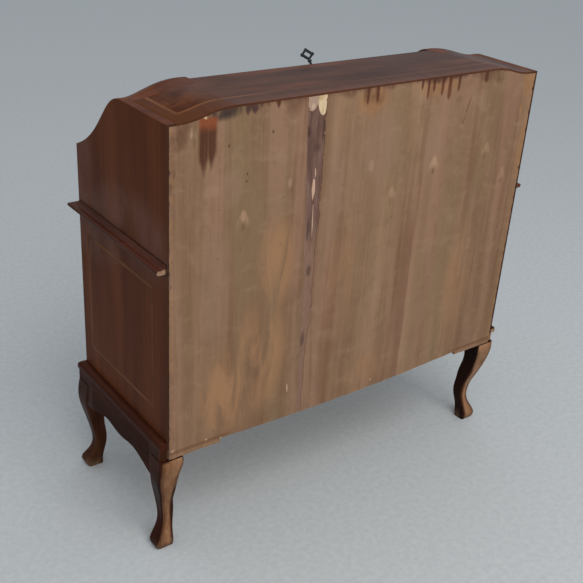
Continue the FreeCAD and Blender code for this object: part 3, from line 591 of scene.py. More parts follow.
def slab(shape, outline, low, high, material=0):
    """Add a board of the given outline between two depths."""
    flat = [Vector(point) for point in outline]
    corners, _, triangles, *_ = delaunay_2d_cdt(flat, [], [list(range(len(flat)))], 1, OUTLINE_MERGE)
    verts = [shape.verts.new((x, low, z)) for x, z in corners]
    near = [shape.faces.new([verts[i] for i in triangle]) for triangle in triangles]
    grown = bmesh.ops.extrude_face_region(shape, geom=near, use_keep_orig=True)["geom"]
    for part in grown:
        if isinstance(part, bmesh.types.BMVert):
            part.co.y = high
    faces = {face for vert in verts for face in vert.link_faces}
    faces |= {part for part in grown if isinstance(part, bmesh.types.BMFace)}
    for face in faces:
        face.material_index = material


def mirrored(points):
    return [(-x, z) for x, z in points]


def splinter_outline(x, low, high, width, lean=0.0):
    """A long pointed sliver of wood."""
    middle = (low + high) / 2
    return [(x, low), (x + width / 2 + lean / 2, middle), (x + width * 0.3 + lean, high),
            (x - width * 0.2 + lean, high - SLIVER_TIP), (x - width / 2 + lean / 2, middle - SLIVER_SKEW)]


face = back
core_face = back - PLY
shape = bmesh.new()
slab(shape, sheet_outline(), panel_low.y, core_face, 1)
slab(shape, sheet_outline(TEAR_LEFT), core_face - PLY_SUNK, face)
tear_right = tuple((z, -x) for z, x in TEAR_RIGHT)
slab(shape, mirrored(sheet_outline(tear_right)), core_face - PLY_SUNK, face)
# A pale sheet is left at the head of the tear, given by its outline.
# Slivers stand below it and beside it, given by x, foot, head, width and lean.
PALE_SHEET = [(0.1252, 0.9447), (0.1690, 0.9447), (0.1686, 0.9270), (0.1650, 0.9195), (0.1585, 0.9165),
              (0.1520, 0.9205), (0.1462, 0.9300), (0.1428, 0.9185), (0.1378, 0.9090), (0.1318, 0.9062),
              (0.1276, 0.9100), (0.1256, 0.9200)]
slab(shape, PALE_SHEET, core_face - PLY_SUNK, core_face + PLY * 0.4, 2)
SLIVERS = ((0.1435, 0.738, 0.784, 0.0085, -0.001), (0.1410, 0.784, 0.805, 0.0030, 0.0),
           (0.1385, 0.656, 0.731, 0.0024, 0.002))
LIFTED_SLIVER = (0.1752, 0.307, 0.332, 0.0036, 0.0012)
for sliver in SLIVERS:
    slab(shape, splinter_outline(*sliver), core_face - PLY_SUNK, core_face + PLY * 0.7, 2)
slab(shape, splinter_outline(*LIFTED_SLIVER), face - PLY_SUNK, face + PLY, 2)
bmesh.ops.recalc_face_normals(shape, faces=shape.faces)
panel_mesh = bpy.data.meshes.new("back_panel_plies")
shape.to_mesh(panel_mesh)
shape.free()
panel = add_object("back_panel_plies", panel_mesh)

FACE_PLY = (tone(107, 78, 55), tone(130, 99, 74), tone(151, 119, 92))
CORE_PLY = (tone(84, 59, 50), tone(108, 80, 69), tone(132, 104, 91))
PALE_PLY = (tone(176, 148, 112), tone(206, 182, 146), tone(230, 214, 182))
FACE_GRAIN_DEPTH = 0.00018
CORE_GRAIN_DEPTH = 0.0004
PALE_GRAIN_DEPTH = 0.0003
# Marks have shaken outlines, and a run of damp fades in over its tip.
SHAKE_ACROSS = 0.004
SHAKE_UP = 0.012
DRIP_TIP = (-0.002, 0.006)


class PanelFinish(Finish):
    """A finish of the back panel, with marks placed by their x and z."""

    def __init__(self, name):
        super().__init__(name)
        axes = self.split(self.place)
        shake = self.noise((70.0, 1.0, 28.0), 3.0, 0.6)
        self.x = self.scaled(shake, SHAKE_ACROSS, self.minus(axes[X], SHAKE_ACROSS / 2))
        self.z = self.scaled(shake, SHAKE_UP, self.minus(axes[Z], SHAKE_UP / 2))
        self.shake = shake

    def spot(self, x, z, wide, tall, soft=0.6):
        """1 in the middle of an oval patch, fading to 0 at its edge."""
        return self.oval(self.minus(self.x, x), self.minus(self.z, z), wide, tall, soft)

    def patches(self, colour, table, paint, soft=0.9):
        """Lay patches over a colour, given by x, z, half width, half height and share of the paint."""
        shares = [self.times(self.spot(*row[:4], soft), row[4]) for row in table]
        return self.lay(colour, paint, self.most(shares))

    def drip(self, x, width, tip, full):
        """1 inside a run of damp that widens from its tip up to full."""
        grown = self.times(self.step(self.z, tip, full), width)
        off = self.off(self.x, x)
        inside = self.step(self.minus(off, grown), width * 0.4, width * -0.5)
        return self.times(inside, self.step(self.z, *[tip + over for over in DRIP_TIP]))

    def runs(self, table, taper):
        """1 inside any run of a table, given by x, half width and the height of the tip."""
        return self.most([self.drip(x, width, tip, tip + taper) for x, width, tip in table])

    def inside(self, value, fades):
        """1 where a value lies past all the fades, each given by its start and where it is full."""
        return self.times(*[self.step(value, *fade) for fade in fades])


# Streaks and smudges: cells per metre, detail, roughness, distortion, fade, then their colour and share.
STREAKS = (((15.0, 1.0, 1.7), 2.0, 0.55, 0.5, (0.46, 0.66), tone(127, 103, 75), 0.65),
           ((19.0, 1.0, 1.3), 2.0, 0.55, 0.6, (0.48, 0.68), tone(145, 110, 89), 0.6),
           ((26.0, 1.0, 1.1), 3.0, 0.6, 0.6, (0.56, 0.72), tone(112, 76, 54), 0.55),
           ((34.0, 1.0, 22.0), 6.0, 0.68, 0.0, (0.46, 0.68), tone(112, 82, 58), 0.32),
           ((18.0, 1.0, 30.0), 6.0, 0.66, 0.5, (0.5, 0.72), tone(156, 126, 100), 0.3))
WARM_PATCHES = ((0.22, 0.62, 0.055, 0.13, 0.8), (0.25, 0.42, 0.08, 0.17, 0.9),
                (0.33, 0.36, 0.08, 0.13, 0.9), (-0.05, 0.30, 0.14, 0.05, 0.4),
                (-0.30, 0.45, 0.06, 0.20, 0.4), (0.05, 0.55, 0.05, 0.16, 0.3))
PINK_PATCHES = ((-0.02, 0.82, 0.06, 0.09, 0.5), (0.36, 0.60, 0.05, 0.16, 0.4),
                (-0.17, 0.80, 0.04, 0.09, 0.5), (0.09, 0.74, 0.03, 0.14, 0.4),
                (0.33, 0.80, 0.03, 0.05, 0.4))
SEAM_SIDES = ((-0.147, -0.144), (-0.112, -0.134))
SEAM_HEAD = (0.72, 0.60)
PALE_STRIP_SIDES = ((-0.145, -0.149), (-0.235, -0.16))


def streaked(finish, colour):
    """Streaks of the grain, warm and pink patches, and a seam of the veneer with a pale strip beside it."""
    for scale, detail, roughness, distortion, fade, paint, share in STREAKS:
        streak = finish.step(finish.noise(scale, detail, roughness, distortion), *fade)
        colour = finish.lay(colour, paint, streak, share)
    cloudy = finish.step(finish.noise((24.0, 1.0, 5.0), 4.0, 0.6, 0.8), 0.34, 0.62)
    colour = finish.lay(colour, finish.patches(colour, WARM_PATCHES, tone(156, 116, 82), 1.0), cloudy)
    colour = finish.patches(colour, PINK_PATCHES, tone(141, 112, 93), 1.0)
    seam = finish.times(finish.inside(finish.x, SEAM_SIDES), finish.step(finish.z, *SEAM_HEAD))
    colour = finish.lay(colour, tone(112, 76, 56), seam, 0.5)
    return finish.lay(colour, tone(156, 122, 95), finish.inside(finish.x, PALE_STRIP_SIDES), 0.3)


# Flames of the grain over a knot: x and z of the tip, and how much they show.
FLAMES = ((-0.178, 0.7780, 0.8), (0.3036, 0.7460, 0.65), (-0.336, 0.786, 0.45), (-0.402, 0.716, 0.4),
          (-0.064, 0.729, 0.45))
FLAME_SPREAD = 0.42
FLAME_HEIGHT = 0.032
FLAME_WIDTH = 0.009
FLAME_TIP = (-0.004, 0.006)
FLAME_HEART = (0.008, 0.016)
KNOT_HOLES = ((0.2991, 0.8201), (0.2998, 0.8051), (0.2459, 0.8907), (0.3401, 0.8784))
KNOT_HOLE = (0.0027, 0.0042)
KNOT_HEART = (0.005, 0.009)
LONE_HEART = (0.195, 0.770, 0.004, 0.009, 0.5)
PALE_PATCHES = ((0.373, 0.798, 0.024, 0.014, 0.25), (-0.001, 0.786, 0.009, 0.016, 0.4),
                (0.201, 0.785, 0.006, 0.014, 0.45), (0.4165, 0.911, 0.0028, 0.013, 0.7),
                (-0.245, 0.838, 0.006, 0.007, 0.3))
ORANGE_PATCHES = ((0.012, 0.922, 0.048, 0.036, 0.4), (-0.165, 0.930, 0.070, 0.028, 0.3),
                  (-0.445, 0.915, 0.030, 0.050, 0.35), (-0.430, 0.848, 0.005, 0.014, 0.6),
                  (-0.452, 0.76, 0.012, 0.08, 0.3))


def flame(finish, x, tip):
    """1 along two pale lines that run down and apart from a tip."""
    down = finish.minus(tip, finish.z)
    away = finish.math("ABSOLUTE", finish.scaled(down, -FLAME_SPREAD, finish.off(finish.x, x)))
    ends = finish.times(finish.step(down, *FLAME_TIP), finish.step(down, FLAME_HEIGHT, FLAME_HEIGHT * 0.5))
    frayed = finish.step(finish.noise((190.0, 1.0, 60.0), 3.0, 0.6), 0.3, 0.6)
    lines = finish.times(finish.step(away, FLAME_WIDTH, 0.0), ends, frayed)
    heart = finish.spot(x, tip - FLAME_WIDTH, *FLAME_HEART, 1.0)
    return finish.math("MAXIMUM", finish.times(lines, 0.8), heart)


def knotty(finish, colour):
    """Knots with the flames over them, small knot holes, and pale and orange patches."""
    flames = finish.most([finish.times(flame(finish, x, tip), share) for x, tip, share in FLAMES])
    colour = finish.lay(colour, tone(172, 136, 108), flames)
    hearts = [(x, tip - FLAME_HEIGHT, *KNOT_HEART, share * 0.8) for x, tip, share in FLAMES]
    colour = finish.patches(colour, hearts + [LONE_HEART], tone(104, 74, 54))
    colour = finish.patches(colour, [(x, z, *KNOT_HOLE, 0.85) for x, z in KNOT_HOLES], tone(72, 54, 40))
    colour = finish.patches(colour, PALE_PATCHES, tone(166, 134, 110))
    return finish.patches(colour, ORANGE_PATCHES, tone(158, 108, 62))


BROWN_STAINS = ((-0.166, 0.946, 0.062, 0.013, 1.0), (-0.006, 0.947, 0.050, 0.012, 0.8),
                (0.247, 0.948, 0.021, 0.017, 0.9), (0.200, 0.948, 0.032, 0.040, 0.55),
                (0.070, 0.948, 0.032, 0.020, 0.6), (0.023, 0.938, 0.020, 0.032, 0.7),
                (-0.003, 0.935, 0.022, 0.030, 0.7), (-0.030, 0.947, 0.026, 0.012, 0.6),
                (-0.310, 0.943, 0.055, 0.022, 0.6), (-0.345, 0.930, 0.018, 0.016, 0.6),
                (0.440, 0.905, 0.020, 0.032, 0.75), (0.425, 0.926, 0.022, 0.020, 0.6),
                (0.411, 0.906, 0.005, 0.026, 0.5), (-0.230, 0.894, 0.014, 0.010, 0.4),
                (0.4520, 0.845, 0.006, 0.012, 0.6), (0.4565, 0.818, 0.004, 0.016, 0.6))
DARK_STAINS = ((0.350, 0.944, 0.050, 0.024, 1.0), (0.288, 0.950, 0.028, 0.020, 1.0),
               (-0.190, 0.951, 0.100, 0.011, 1.0))
PURPLE_DRIPS = ((0.3025, 0.0055, 0.926), (0.2870, 0.0070, 0.925), (0.2740, 0.0030, 0.935))
DRIPS = ((-0.117, 0.0030, 0.921), (-0.1345, 0.0034, 0.903), (-0.150, 0.0034, 0.914),
         (-0.1745, 0.0040, 0.903), (-0.1957, 0.0052, 0.894), (-0.2220, 0.0042, 0.908),
         (-0.302, 0.0060, 0.918), (0.236, 0.0040, 0.929), (0.0254, 0.0035, 0.910),
         (0.001, 0.0035, 0.910))
DRIP_TAPER = 0.012
DRIP_DARKENS = (0.905, 0.94)
SHADE_AND_DAMP_HEAD = (0.936, 0.95)


def damp_stained(finish, colour):
    """Stains under the top edge where damp came in, a darker band of painted shade under the top broken up by the
    damp, and the runs that dried below them.
    """
    damp = finish.step(finish.noise((70.0, 1.0, 20.0), 4.0, 0.65), 0.3, 0.58)
    colour = finish.lay(colour, finish.patches(colour, BROWN_STAINS, tone(92, 60, 42)), damp)
    colour = finish.lay(colour, finish.patches(colour, DARK_STAINS, tone(58, 44, 38)), damp)
    colour = finish.lay(colour, tone(66, 40, 40), finish.runs(PURPLE_DRIPS, DRIP_TAPER), 0.8)
    # Painted shade under the top, partly damp stain: a darker band along the head of the panel, broken up by the
    # damp.
    shade_and_damp_under_top = finish.times(finish.step(finish.z, *SHADE_AND_DAMP_HEAD), finish.scaled(damp, 0.45, 0.2))
    colour = finish.lay(colour, tone(86, 56, 39), shade_and_damp_under_top)
    rusty = finish.lay(tone(100, 56, 32), tone(78, 38, 22), finish.step(finish.z, *DRIP_DARKENS))
    return finish.lay(colour, rusty, finish.runs(DRIPS, DRIP_TAPER), 0.9)


SCRATCH_FOOT = (-0.2478, 0.843)
SCRATCH_SLANT = 0.314
SCRATCH_WIDTH = (0.0032, 0.001)
SCRATCH_ENDS = ((0.838, 0.846), (0.902, 0.885))


def scratched(finish, colour):
    """One long slanting scratch."""
    slant = finish.scaled(finish.minus(finish.z, SCRATCH_FOOT[1]), SCRATCH_SLANT, finish.x)
    scratch = finish.times(finish.step(finish.off(slant, SCRATCH_FOOT[0]), *SCRATCH_WIDTH),
                           finish.inside(finish.z, SCRATCH_ENDS))
    broken = finish.step(finish.noise((240.0, 1.0, 90.0), 3.0, 0.6), 0.36, 0.52)
    return finish.lay(colour, tone(92, 62, 42), scratch, broken, 0.8)


WEDGE_LOBES = ((0.3915, 0.0112, 0.824), (0.3760, 0.0112, 0.834))
WEDGE_TAPER = 0.046
WEDGE_BRIGHTENS = (0.904, 0.926)
WEDGE_HEAD = (0.939, 0.930)


def rust_wedge(finish, colour):
    """A wedge of rusty damp that ends in two lobes, brighter at its head and ribbed by the grain."""
    rust = finish.lay(tone(76, 41, 23), tone(128, 64, 34), finish.step(finish.z, *WEDGE_BRIGHTENS))
    ribs = finish.step(finish.noise((160.0, 1.0, 7.0), 2.0, 0.5), 0.5, 0.64)
    rust = finish.lay(rust, tone(120, 80, 56), ribs, 0.25)
    lobes = finish.runs(WEDGE_LOBES, WEDGE_TAPER)
    return finish.lay(colour, rust, lobes, 0.96, finish.step(finish.z, *WEDGE_HEAD))


# Wear along the edges, by how far from the edge it starts and is full.
FAR_EDGE = (0.03, 0.006)
ROUGH_EDGE = (0.014, 0.002)
LOW_LINE_RISE = 0.014
LOW_LINE_WIDTH = (0.006, 0.002)
LOW_LINE_START = (0.30, 0.345)
CHIPS = ((0.3896, 0.9345, 0.004, 0.003, 0.8), (-0.064, 0.262, 0.003, 0.003, 0.5),
         (0.375, 0.262, 0.004, 0.003, 0.6), (0.339, 0.252, 0.003, 0.003, 0.6),
         (0.452, 0.262, 0.005, 0.004, 0.5))


def worn_border(finish, colour):
    """Lighter, rubbed and chipped edges, and a dark line over each tab at the foot."""
    axes = finish.split(finish.place)
    off_middle = finish.math("ABSOLUTE", axes[X])
    to_edge = finish.minus(panel_half, off_middle)
    to_foot = finish.minus(axes[Z], panel_low.z)
    far_edge = finish.step(axes[X], *[inset - panel_half for inset in FAR_EDGE])
    colour = finish.lay(colour, tone(150, 112, 76), far_edge, 0.22)
    border = finish.step(finish.math("MINIMUM", to_edge, to_foot), *ROUGH_EDGE)
    rough = finish.step(finish.noise((30.0, 1.0, 30.0), 4.0, 0.65), 0.46, 0.6)
    colour = finish.lay(colour, tone(152, 112, 76), border, rough, 0.45)
    low_line = finish.times(finish.step(finish.off(to_foot, LOW_LINE_RISE), *LOW_LINE_WIDTH),
                            finish.step(off_middle, *LOW_LINE_START))
    colour = finish.lay(colour, tone(104, 66, 40), low_line, 0.6)
    return finish.patches(colour, CHIPS, tone(196, 166, 128), 0.6)


def face_ply():
    finish = PanelFinish("panel_face_ply")
    colour, grain = finish.wood((Z,), FACE_PLY, 6.0, 150.0, fine_share=0.22, pore_share=0.14)
    for marked in (streaked, knotty, damp_stained, scratched, rust_wedge, worn_border):
        colour = marked(finish, colour)
    roughness = finish.scaled(finish.shake, 0.2, 0.62)
    return finish.surface(colour, roughness, grain, FACE_GRAIN_DEPTH, Specular_IOR_Level=0.25)


SCORCHES = ((0.1640, 0.878, 0.007, 0.012, 0.7), (0.1285, 0.880, 0.004, 0.032, 0.7),
            (0.1400, 0.845, 0.012, 0.012, 0.4), (0.1495, 0.675, 0.004, 0.030, 0.6),
            (0.1393, 0.586, 0.008, 0.016, 0.6), (0.1430, 0.428, 0.007, 0.022, 0.6))
CORE_FADES = (0.70, 0.62)


def core_ply():
    finish = PanelFinish("panel_core_ply")
    colour, grain = finish.wood((Z,), CORE_PLY, 30.0, 300.0, fine_share=0.3)
    glue = finish.step(finish.noise((80.0, 1.0, 6.0), 4.0, 0.65, 0.5), 0.5, 0.68)
    colour = finish.lay(colour, tone(74, 50, 46), glue, 0.5)
    paler = finish.step(finish.z, *CORE_FADES)
    colour = finish.lay(colour, tone(142, 110, 90), paler, 0.65)
    colour = finish.patches(colour, SCORCHES, tone(66, 44, 38))
    return finish.surface(colour, 0.75, grain, CORE_GRAIN_DEPTH, Specular_IOR_Level=0.2)


PALE_DULL_SIDE = (0.143, 0.148)
PALE_DULL_HEAD = (0.85, 0.87)
GLUE_SPOT = (0.139, 0.944, 0.008, 0.012, 0.6)
BRIGHT_SPOT = (0.157, 0.926, 0.006, 0.008, 0.7)


def pale_ply():
    finish = PanelFinish("panel_pale_ply")
    colour, grain = finish.wood((Z,), PALE_PLY, 30.0, 380.0)
    colour = finish.patches(colour, [GLUE_SPOT], tone(178, 144, 96))
    dull = finish.times(finish.step(finish.x, *PALE_DULL_SIDE), finish.step(finish.z, *PALE_DULL_HEAD))
    colour = finish.lay(colour, tone(164, 136, 118), dull)
    colour = finish.patches(colour, [BRIGHT_SPOT], tone(196, 170, 146))
    colour = finish.lay(colour, tone(188, 150, 131), finish.step(finish.z, *reversed(PALE_DULL_HEAD)), 0.8)
    return finish.surface(colour, 0.7, grain, PALE_GRAIN_DEPTH, Specular_IOR_Level=0.2)


stand_for(panel, "back_panel", face_ply())
panel_mesh.materials.append(core_ply())
panel_mesh.materials.append(pale_ply())

# The nails of the back panel, small round-headed iron nails driven in by hand and gone rusty.
# They hold the panel to the sides, the desk board, the waist rail and the bottom board.
NAIL_RADIUS = 0.0022
NAIL_RISE = 0.0007
NAIL_TILT = 0.12
RUST_DEPTH = 0.0001
ANY_TURN = 3.1
NAIL_SEGMENTS = 12
NAIL_RINGS = 6
NAIL_SEED = 3
finish = Finish("rusty_iron")
rust = finish.noise((900.0, 900.0, 900.0), 4.0, 0.65)
colour = finish.ramp(rust, (0.3, tone(104, 78, 60)), (0.55, tone(124, 96, 75)), (0.75, tone(140, 110, 86)))
rusty_iron = finish.surface(colour, finish.scaled(rust, 0.3, 0.55), rust, RUST_DEPTH, Metallic=0.05)


def grow(name, tree, points, facing, inputs, material, node, replaces=False):
    """Set one of a tree's shapes on each point, all facing one way, as one plain mesh on the node's body."""
    mesh = bpy.data.meshes.new(name)
    mesh.from_pydata(points, [], [])
    outward = mesh.attributes.new("facing", "FLOAT_VECTOR", "POINT")
    for row in outward.data:
        row.vector = facing
    seeds = add_object(name + "_seeds", mesh)
    modifier = seeds.modifiers.new("grown", "NODES")
    modifier.node_group = tree
    sockets = {item.name: item.identifier for item in tree.interface.items_tree
               if item.item_type == "SOCKET"}
    for key, value in {**inputs, "Finish": material}.items():
        modifier[sockets[key]] = value
    piece = add_object(name, worked_mesh(seeds, name))
    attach(piece, body_of[node])
    if replaces:
        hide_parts(node)


class Grower:
    """A geometry tree that sets one shape on every point of a mesh."""

    def __init__(self, name, sizes):
        self.tree = bpy.data.node_groups.new(name, "GeometryNodeTree")
        self.tree.interface.new_socket("Geometry", in_out="OUTPUT", socket_type="NodeSocketGeometry")
        self.tree.interface.new_socket("Geometry", in_out="INPUT", socket_type="NodeSocketGeometry")
        for size in sizes:
            self.tree.interface.new_socket(size, in_out="INPUT", socket_type="NodeSocketFloat")
        self.tree.interface.new_socket("Finish", in_out="INPUT", socket_type="NodeSocketMaterial")
        self.given = self.node("NodeGroupInput").outputs

    def node(self, kind, inputs=None, **settings):
        node = self.tree.nodes.new(kind)
        for key, value in settings.items():
            setattr(node, key, value)
        for key, value in (inputs or {}).items():
            if isinstance(value, bpy.types.NodeSocket):
                self.tree.links.new(value, node.inputs[key])
            else:
                node.inputs[key].default_value = value
        return node

    def finish(self, shape, tilt, turn, seed):
        """Instance the shape on the points with a small random tilt and turn, and make it real."""
        facing = self.node("GeometryNodeInputNamedAttribute", {"Name": "facing"}, data_type="FLOAT_VECTOR")
        aligned = self.node("FunctionNodeAlignRotationToVector", {"Vector": facing.outputs["Attribute"]},
                            axis="Z")
        loose = self.node("FunctionNodeRandomValue",
                          {0: (-tilt, -tilt, -turn), 1: (tilt, tilt, turn), "Seed": seed},
                          data_type="FLOAT_VECTOR")
        turned = self.node("FunctionNodeRotateRotation",
                           {"Rotation": aligned.outputs[0], "Rotate By": loose.outputs[0]},
                           rotation_space="LOCAL")
        placed = self.node("GeometryNodeInstanceOnPoints",
                           {"Points": self.given["Geometry"], "Instance": shape,
                            "Rotation": turned.outputs[0]})
        real = self.node("GeometryNodeRealizeInstances", {"Geometry": placed.outputs[0]})
        dressed = self.node("GeometryNodeSetMaterial",
                            {"Geometry": real.outputs[0], "Material": self.given["Finish"]})
        self.node("NodeGroupOutput", {"Geometry": dressed.outputs[0]})
        return self.tree


def nail_tree():
    grower = Grower("round_nails", ("Radius", "Rise"))
    ball = grower.node("GeometryNodeMeshUVSphere",
                       {"Segments": NAIL_SEGMENTS, "Rings": NAIL_RINGS, "Radius": 1.0})
    scale = grower.node("ShaderNodeCombineXYZ",
                        {0: grower.given["Radius"], 1: grower.given["Radius"], 2: grower.given["Rise"]})
    head = grower.node("GeometryNodeTransform",
                       {"Geometry": ball.outputs["Mesh"], "Scale": scale.outputs[0]})
    return grower.finish(head.outputs[0], NAIL_TILT, ANY_TURN, NAIL_SEED)


def middles(node):
    """The middle of each separate solid of a node."""
    shape = joined_shape(node)
    left = set(shape.verts)
    found = []
    while left:
        island, edge = set(), [left.pop()]
        while edge:
            vert = edge.pop()
            island.add(vert)
            near = {link.other_vert(vert) for link in vert.link_edges} & left
            left -= near
            edge += near
        corners = [[vert.co[axis] for vert in island] for axis in (X, Y, Z)]
        found.append(Vector([(min(side) + max(side)) / 2 for side in corners]))
    shape.free()
    return sorted(found, key=lambda place: (round(place.z, 4), place.x))


nail_places = [(place.x, back, place.z) for place in middles("back_nails")]
grow("back_nail_heads", nail_tree(), nail_places, (0, 1, 0),
     {"Radius": NAIL_RADIUS, "Rise": NAIL_RISE}, rusty_iron, "back_nails", replaces=True)

# The top board, veneered with its grain along the desk and falling to dropped shoulders.
# A cross-banded border with a pale banding line runs along the back edge and both ends.
TOP_VENEER = (tone(46, 23, 14), tone(70, 39, 26), tone(98, 59, 40))
TOP_BORDER = (tone(56, 30, 19), tone(69, 38, 25), tone(84, 48, 31))
SUNNED_VENEER = (tone(44, 19, 5), tone(72, 34, 12), tone(104, 58, 26))
TOP_EASE = 0.0012
TOP_GLOSS = 0.06
# The varnish gets duller over one shoulder, step by step from where it starts to fall.
# Over the other shoulder it gets shinier in the same way.
DULLED_GLOSS = (0.05, 0.037, 0.025, 0.015, 0.008)
SHINY_GLOSS = (0.066, 0.074, 0.084)
HALF_STRIP = 0.05
TOP_BAND_INSET = 0.0445
BORDER_JOINT = 0.0001
# Where the sun has warmed the veneer, and where the banding line shows: start and full, by x.
SUNNED = (0.18, 0.40)
LINE_SHOWS = (0.12, 0.34)
# The rubbed rear border: start and full, by how far from the rear edge.
RUBBED_REAR = (0.03, 0.008)
UPWARD = 0.3
# The banding has no line along the front: its rectangle ends far past the front edge.
OPEN_FRONT = 1.0


def top_finish(name, gloss):
    finish = Finish(name)
    field, grain = finish.wood((X,), TOP_VENEER, 11.0)
    axes = finish.split(finish.place)
    glow = finish.step(finish.noise((3.0, 14.0, 9.0), 3.0, 0.6), 0.5, 0.72)
    field = finish.lay(field, tone(116, 64, 40), glow, 0.4)
    sunned = finish.step(axes[X], *SUNNED)
    warm, _ = finish.wood((X,), SUNNED_VENEER, 16.0)
    field = finish.lay(field, warm, sunned, 0.92)
    border, _ = finish.wood((Y,), TOP_BORDER, 60.0, fine_share=0.5, pore_share=0.3)
    border = finish.lay(border, tone(70, 39, 23), sunned, 0.75)
    golden = finish.times(sunned, finish.step(finish.noise((5.0, 9.0, 9.0), 3.0, 0.6), 0.3, 0.7))
    border = finish.lay(border, tone(112, 68, 36), golden, 0.18)
    end = half - TOP_BAND_INSET
    rear = back - TOP_BAND_INSET
    past_end = finish.minus(finish.math("ABSOLUTE", axes[X]), end)
    past_rear = finish.minus(axes[Y], rear)
    outside = finish.step(finish.math("MAXIMUM", past_end, past_rear), -BORDER_JOINT, BORDER_JOINT)
    colour = finish.lay(field, border, outside)
    rubbed_rear = finish.times(finish.step(axes[Y], *[back - inset for inset in RUBBED_REAR]),
                               finish.scaled(sunned, -0.3, 0.35))
    colour = finish.lay(colour, tone(104, 66, 50), rubbed_rear)
    line_share = finish.scaled(finish.step(axes[X], *LINE_SHOWS), 0.65, 0.3)
    colour, _ = banding(finish, colour, finish.place, X, Y, (-end, front - OPEN_FRONT), (end, rear),
                        share=line_share)
    return polished(finish, colour, grain, 0.2, rubbed=0.15, gloss=gloss)


top = eased("top_board", top_finish("top_veneer", TOP_GLOSS), TOP_EASE)
for side, sheen, shoulder_gloss in ((1, "dulled", DULLED_GLOSS), (-1, "shiny", SHINY_GLOSS)):
    first = len(top.data.materials)
    for count, gloss in enumerate(shoulder_gloss, 1):
        top.data.materials.append(top_finish("top_veneer_%s_%d" % (sheen, count), gloss))
    for face in top.data.polygons:
        reach = max(side * top.data.vertices[corner].co.x for corner in face.vertices)
        over = (reach - shoulder_start) / SHOULDER_RUN - HALF_STRIP
        if over > 0 and face.normal.z > UPWARD:
            face.material_index = first + min(int(over * len(shoulder_gloss)), len(shoulder_gloss) - 1)

# The cheeks beside the fall, veneer bent over a shaped core, its grain following the curve.
# They run from the fuller curve beside the fall to the ogee of the side panels.
CHEEK_GLOSS = 0.04
finish = Finish("cheek_veneer")
colour, grain = finish.wood((Y, Z), VENEER, 8.0)
cheek_veneer = polished(finish, colour, grain, gloss=CHEEK_GLOSS)
for side in ("left", "right"):
    dress("cheek_" + side, cheek_veneer)

# The desk board, the partitions of the desk room and the frieze panels beside the lopers.
# All are boards veneered on the faces that show, with the corners just eased.
DESK_VENEER = (tone(58, 29, 18), tone(86, 48, 30), tone(116, 70, 44))


def veneered(name, along, tones=VENEER):
    finish = Finish(name)
    colour, grain = finish.wood(along, tones)
    return polished(finish, colour, grain)


eased("desk_board", veneered("desk_veneer", (X,), DESK_VENEER))
eased("partitions", veneered("partition_veneer", (Y, Z), DESK_VENEER))
eased("frieze_panels", veneered("frieze_veneer", (Z,)))

# The lopers, hardwood bars that slide out of the frieze to carry the open fall.
# Each has a veneered front end and a small turned brass knob.
LOPER_WOOD = (tone(96, 62, 38), tone(128, 88, 56), tone(152, 110, 74))
LOPER_GRAIN_DEPTH = 0.0001
BRASS_WEAR = 0.0012
TARNISH_DEPTH = 0.00004
BRASS = (tone(116, 82, 38), tone(168, 126, 62), tone(202, 164, 96))


def brass(name, tones=BRASS):
    finish = Finish(name)
    tarnish = finish.noise((120.0, 120.0, 120.0), 5.0, 0.65)
    colour = finish.ramp(tarnish, (0.34, tones[0]), (0.52, tones[1]), (0.7, tones[2]))
    bright = finish.worn_edge(BRASS_WEAR, 0.25, 0.5)
    colour = finish.lay(colour, tone(226, 192, 128), bright, 0.7)
    roughness = finish.scaled(tarnish, 0.35, 0.14)
    return finish.surface(colour, roughness, tarnish, TARNISH_DEPTH, Metallic=1.0)


knob_brass = brass("knob_brass")


def loper_finish():
    finish = Finish("loper_wood")
    colour, grain = finish.wood((Y,), LOPER_WOOD)
    colour = front_strip(finish, colour, (Z,))
    slide = finish.noise((60.0, 3.0, 60.0), 4.0)
    return finish.surface(colour, finish.scaled(slide, 0.3, 0.3), grain, LOPER_GRAIN_DEPTH,
                          Specular_IOR_Level=0.1)


loper_wood = loper_finish()
for side in ("left", "right"):
    piece = eased("loper_" + side, loper_wood)
    piece.data.materials.append(knob_brass)
    for polygon in piece.data.polygons:
        if polygon.center.y < front - EASED_EDGE / 4:
            polygon.material_index = 1

# The gallery inside the desk: uprights, a shelf and arched pigeonhole dividers in a lighter wood.
# They are glued in housings, and two small drawers stand below the shelf.
GALLERY_EASE = 0.0006
GALLERY = (tone(92, 54, 32), tone(126, 80, 50), tone(158, 108, 70))
for name, along in (("gallery_uprights", (Z,)), ("gallery_shelf", (X,)), ("pigeonhole_dividers", (Z,))):
    eased(name, veneered(name + "_wood", along, GALLERY), GALLERY_EASE)

# The drawers: veneered fronts, and boxes of plain softwood dovetailed at the front corners.
# Each front carries a cross-banded border, parted from the field by a thin line of banding.
DRAWER_BAND_INSET = 0.024
SMALL_BAND_INSET = 0.009
DRAWER_BAND = 0.0035
VENEER_EDGE = (0.002, 0.003)
DRAWER_EASE = 0.0011
SMALL_FRONT_EASE = 0.0008
SMALL_BOX_EASE = 0.0005
MITRE_JOINT = 0.0002
DOVETAIL_PITCH = 0.028
DOVETAIL_DEPTH = 0.014
DOVETAIL_LINE = 0.0006
DOVETAIL_NECK = 0.2
DOVETAIL_FLARE = 0.1


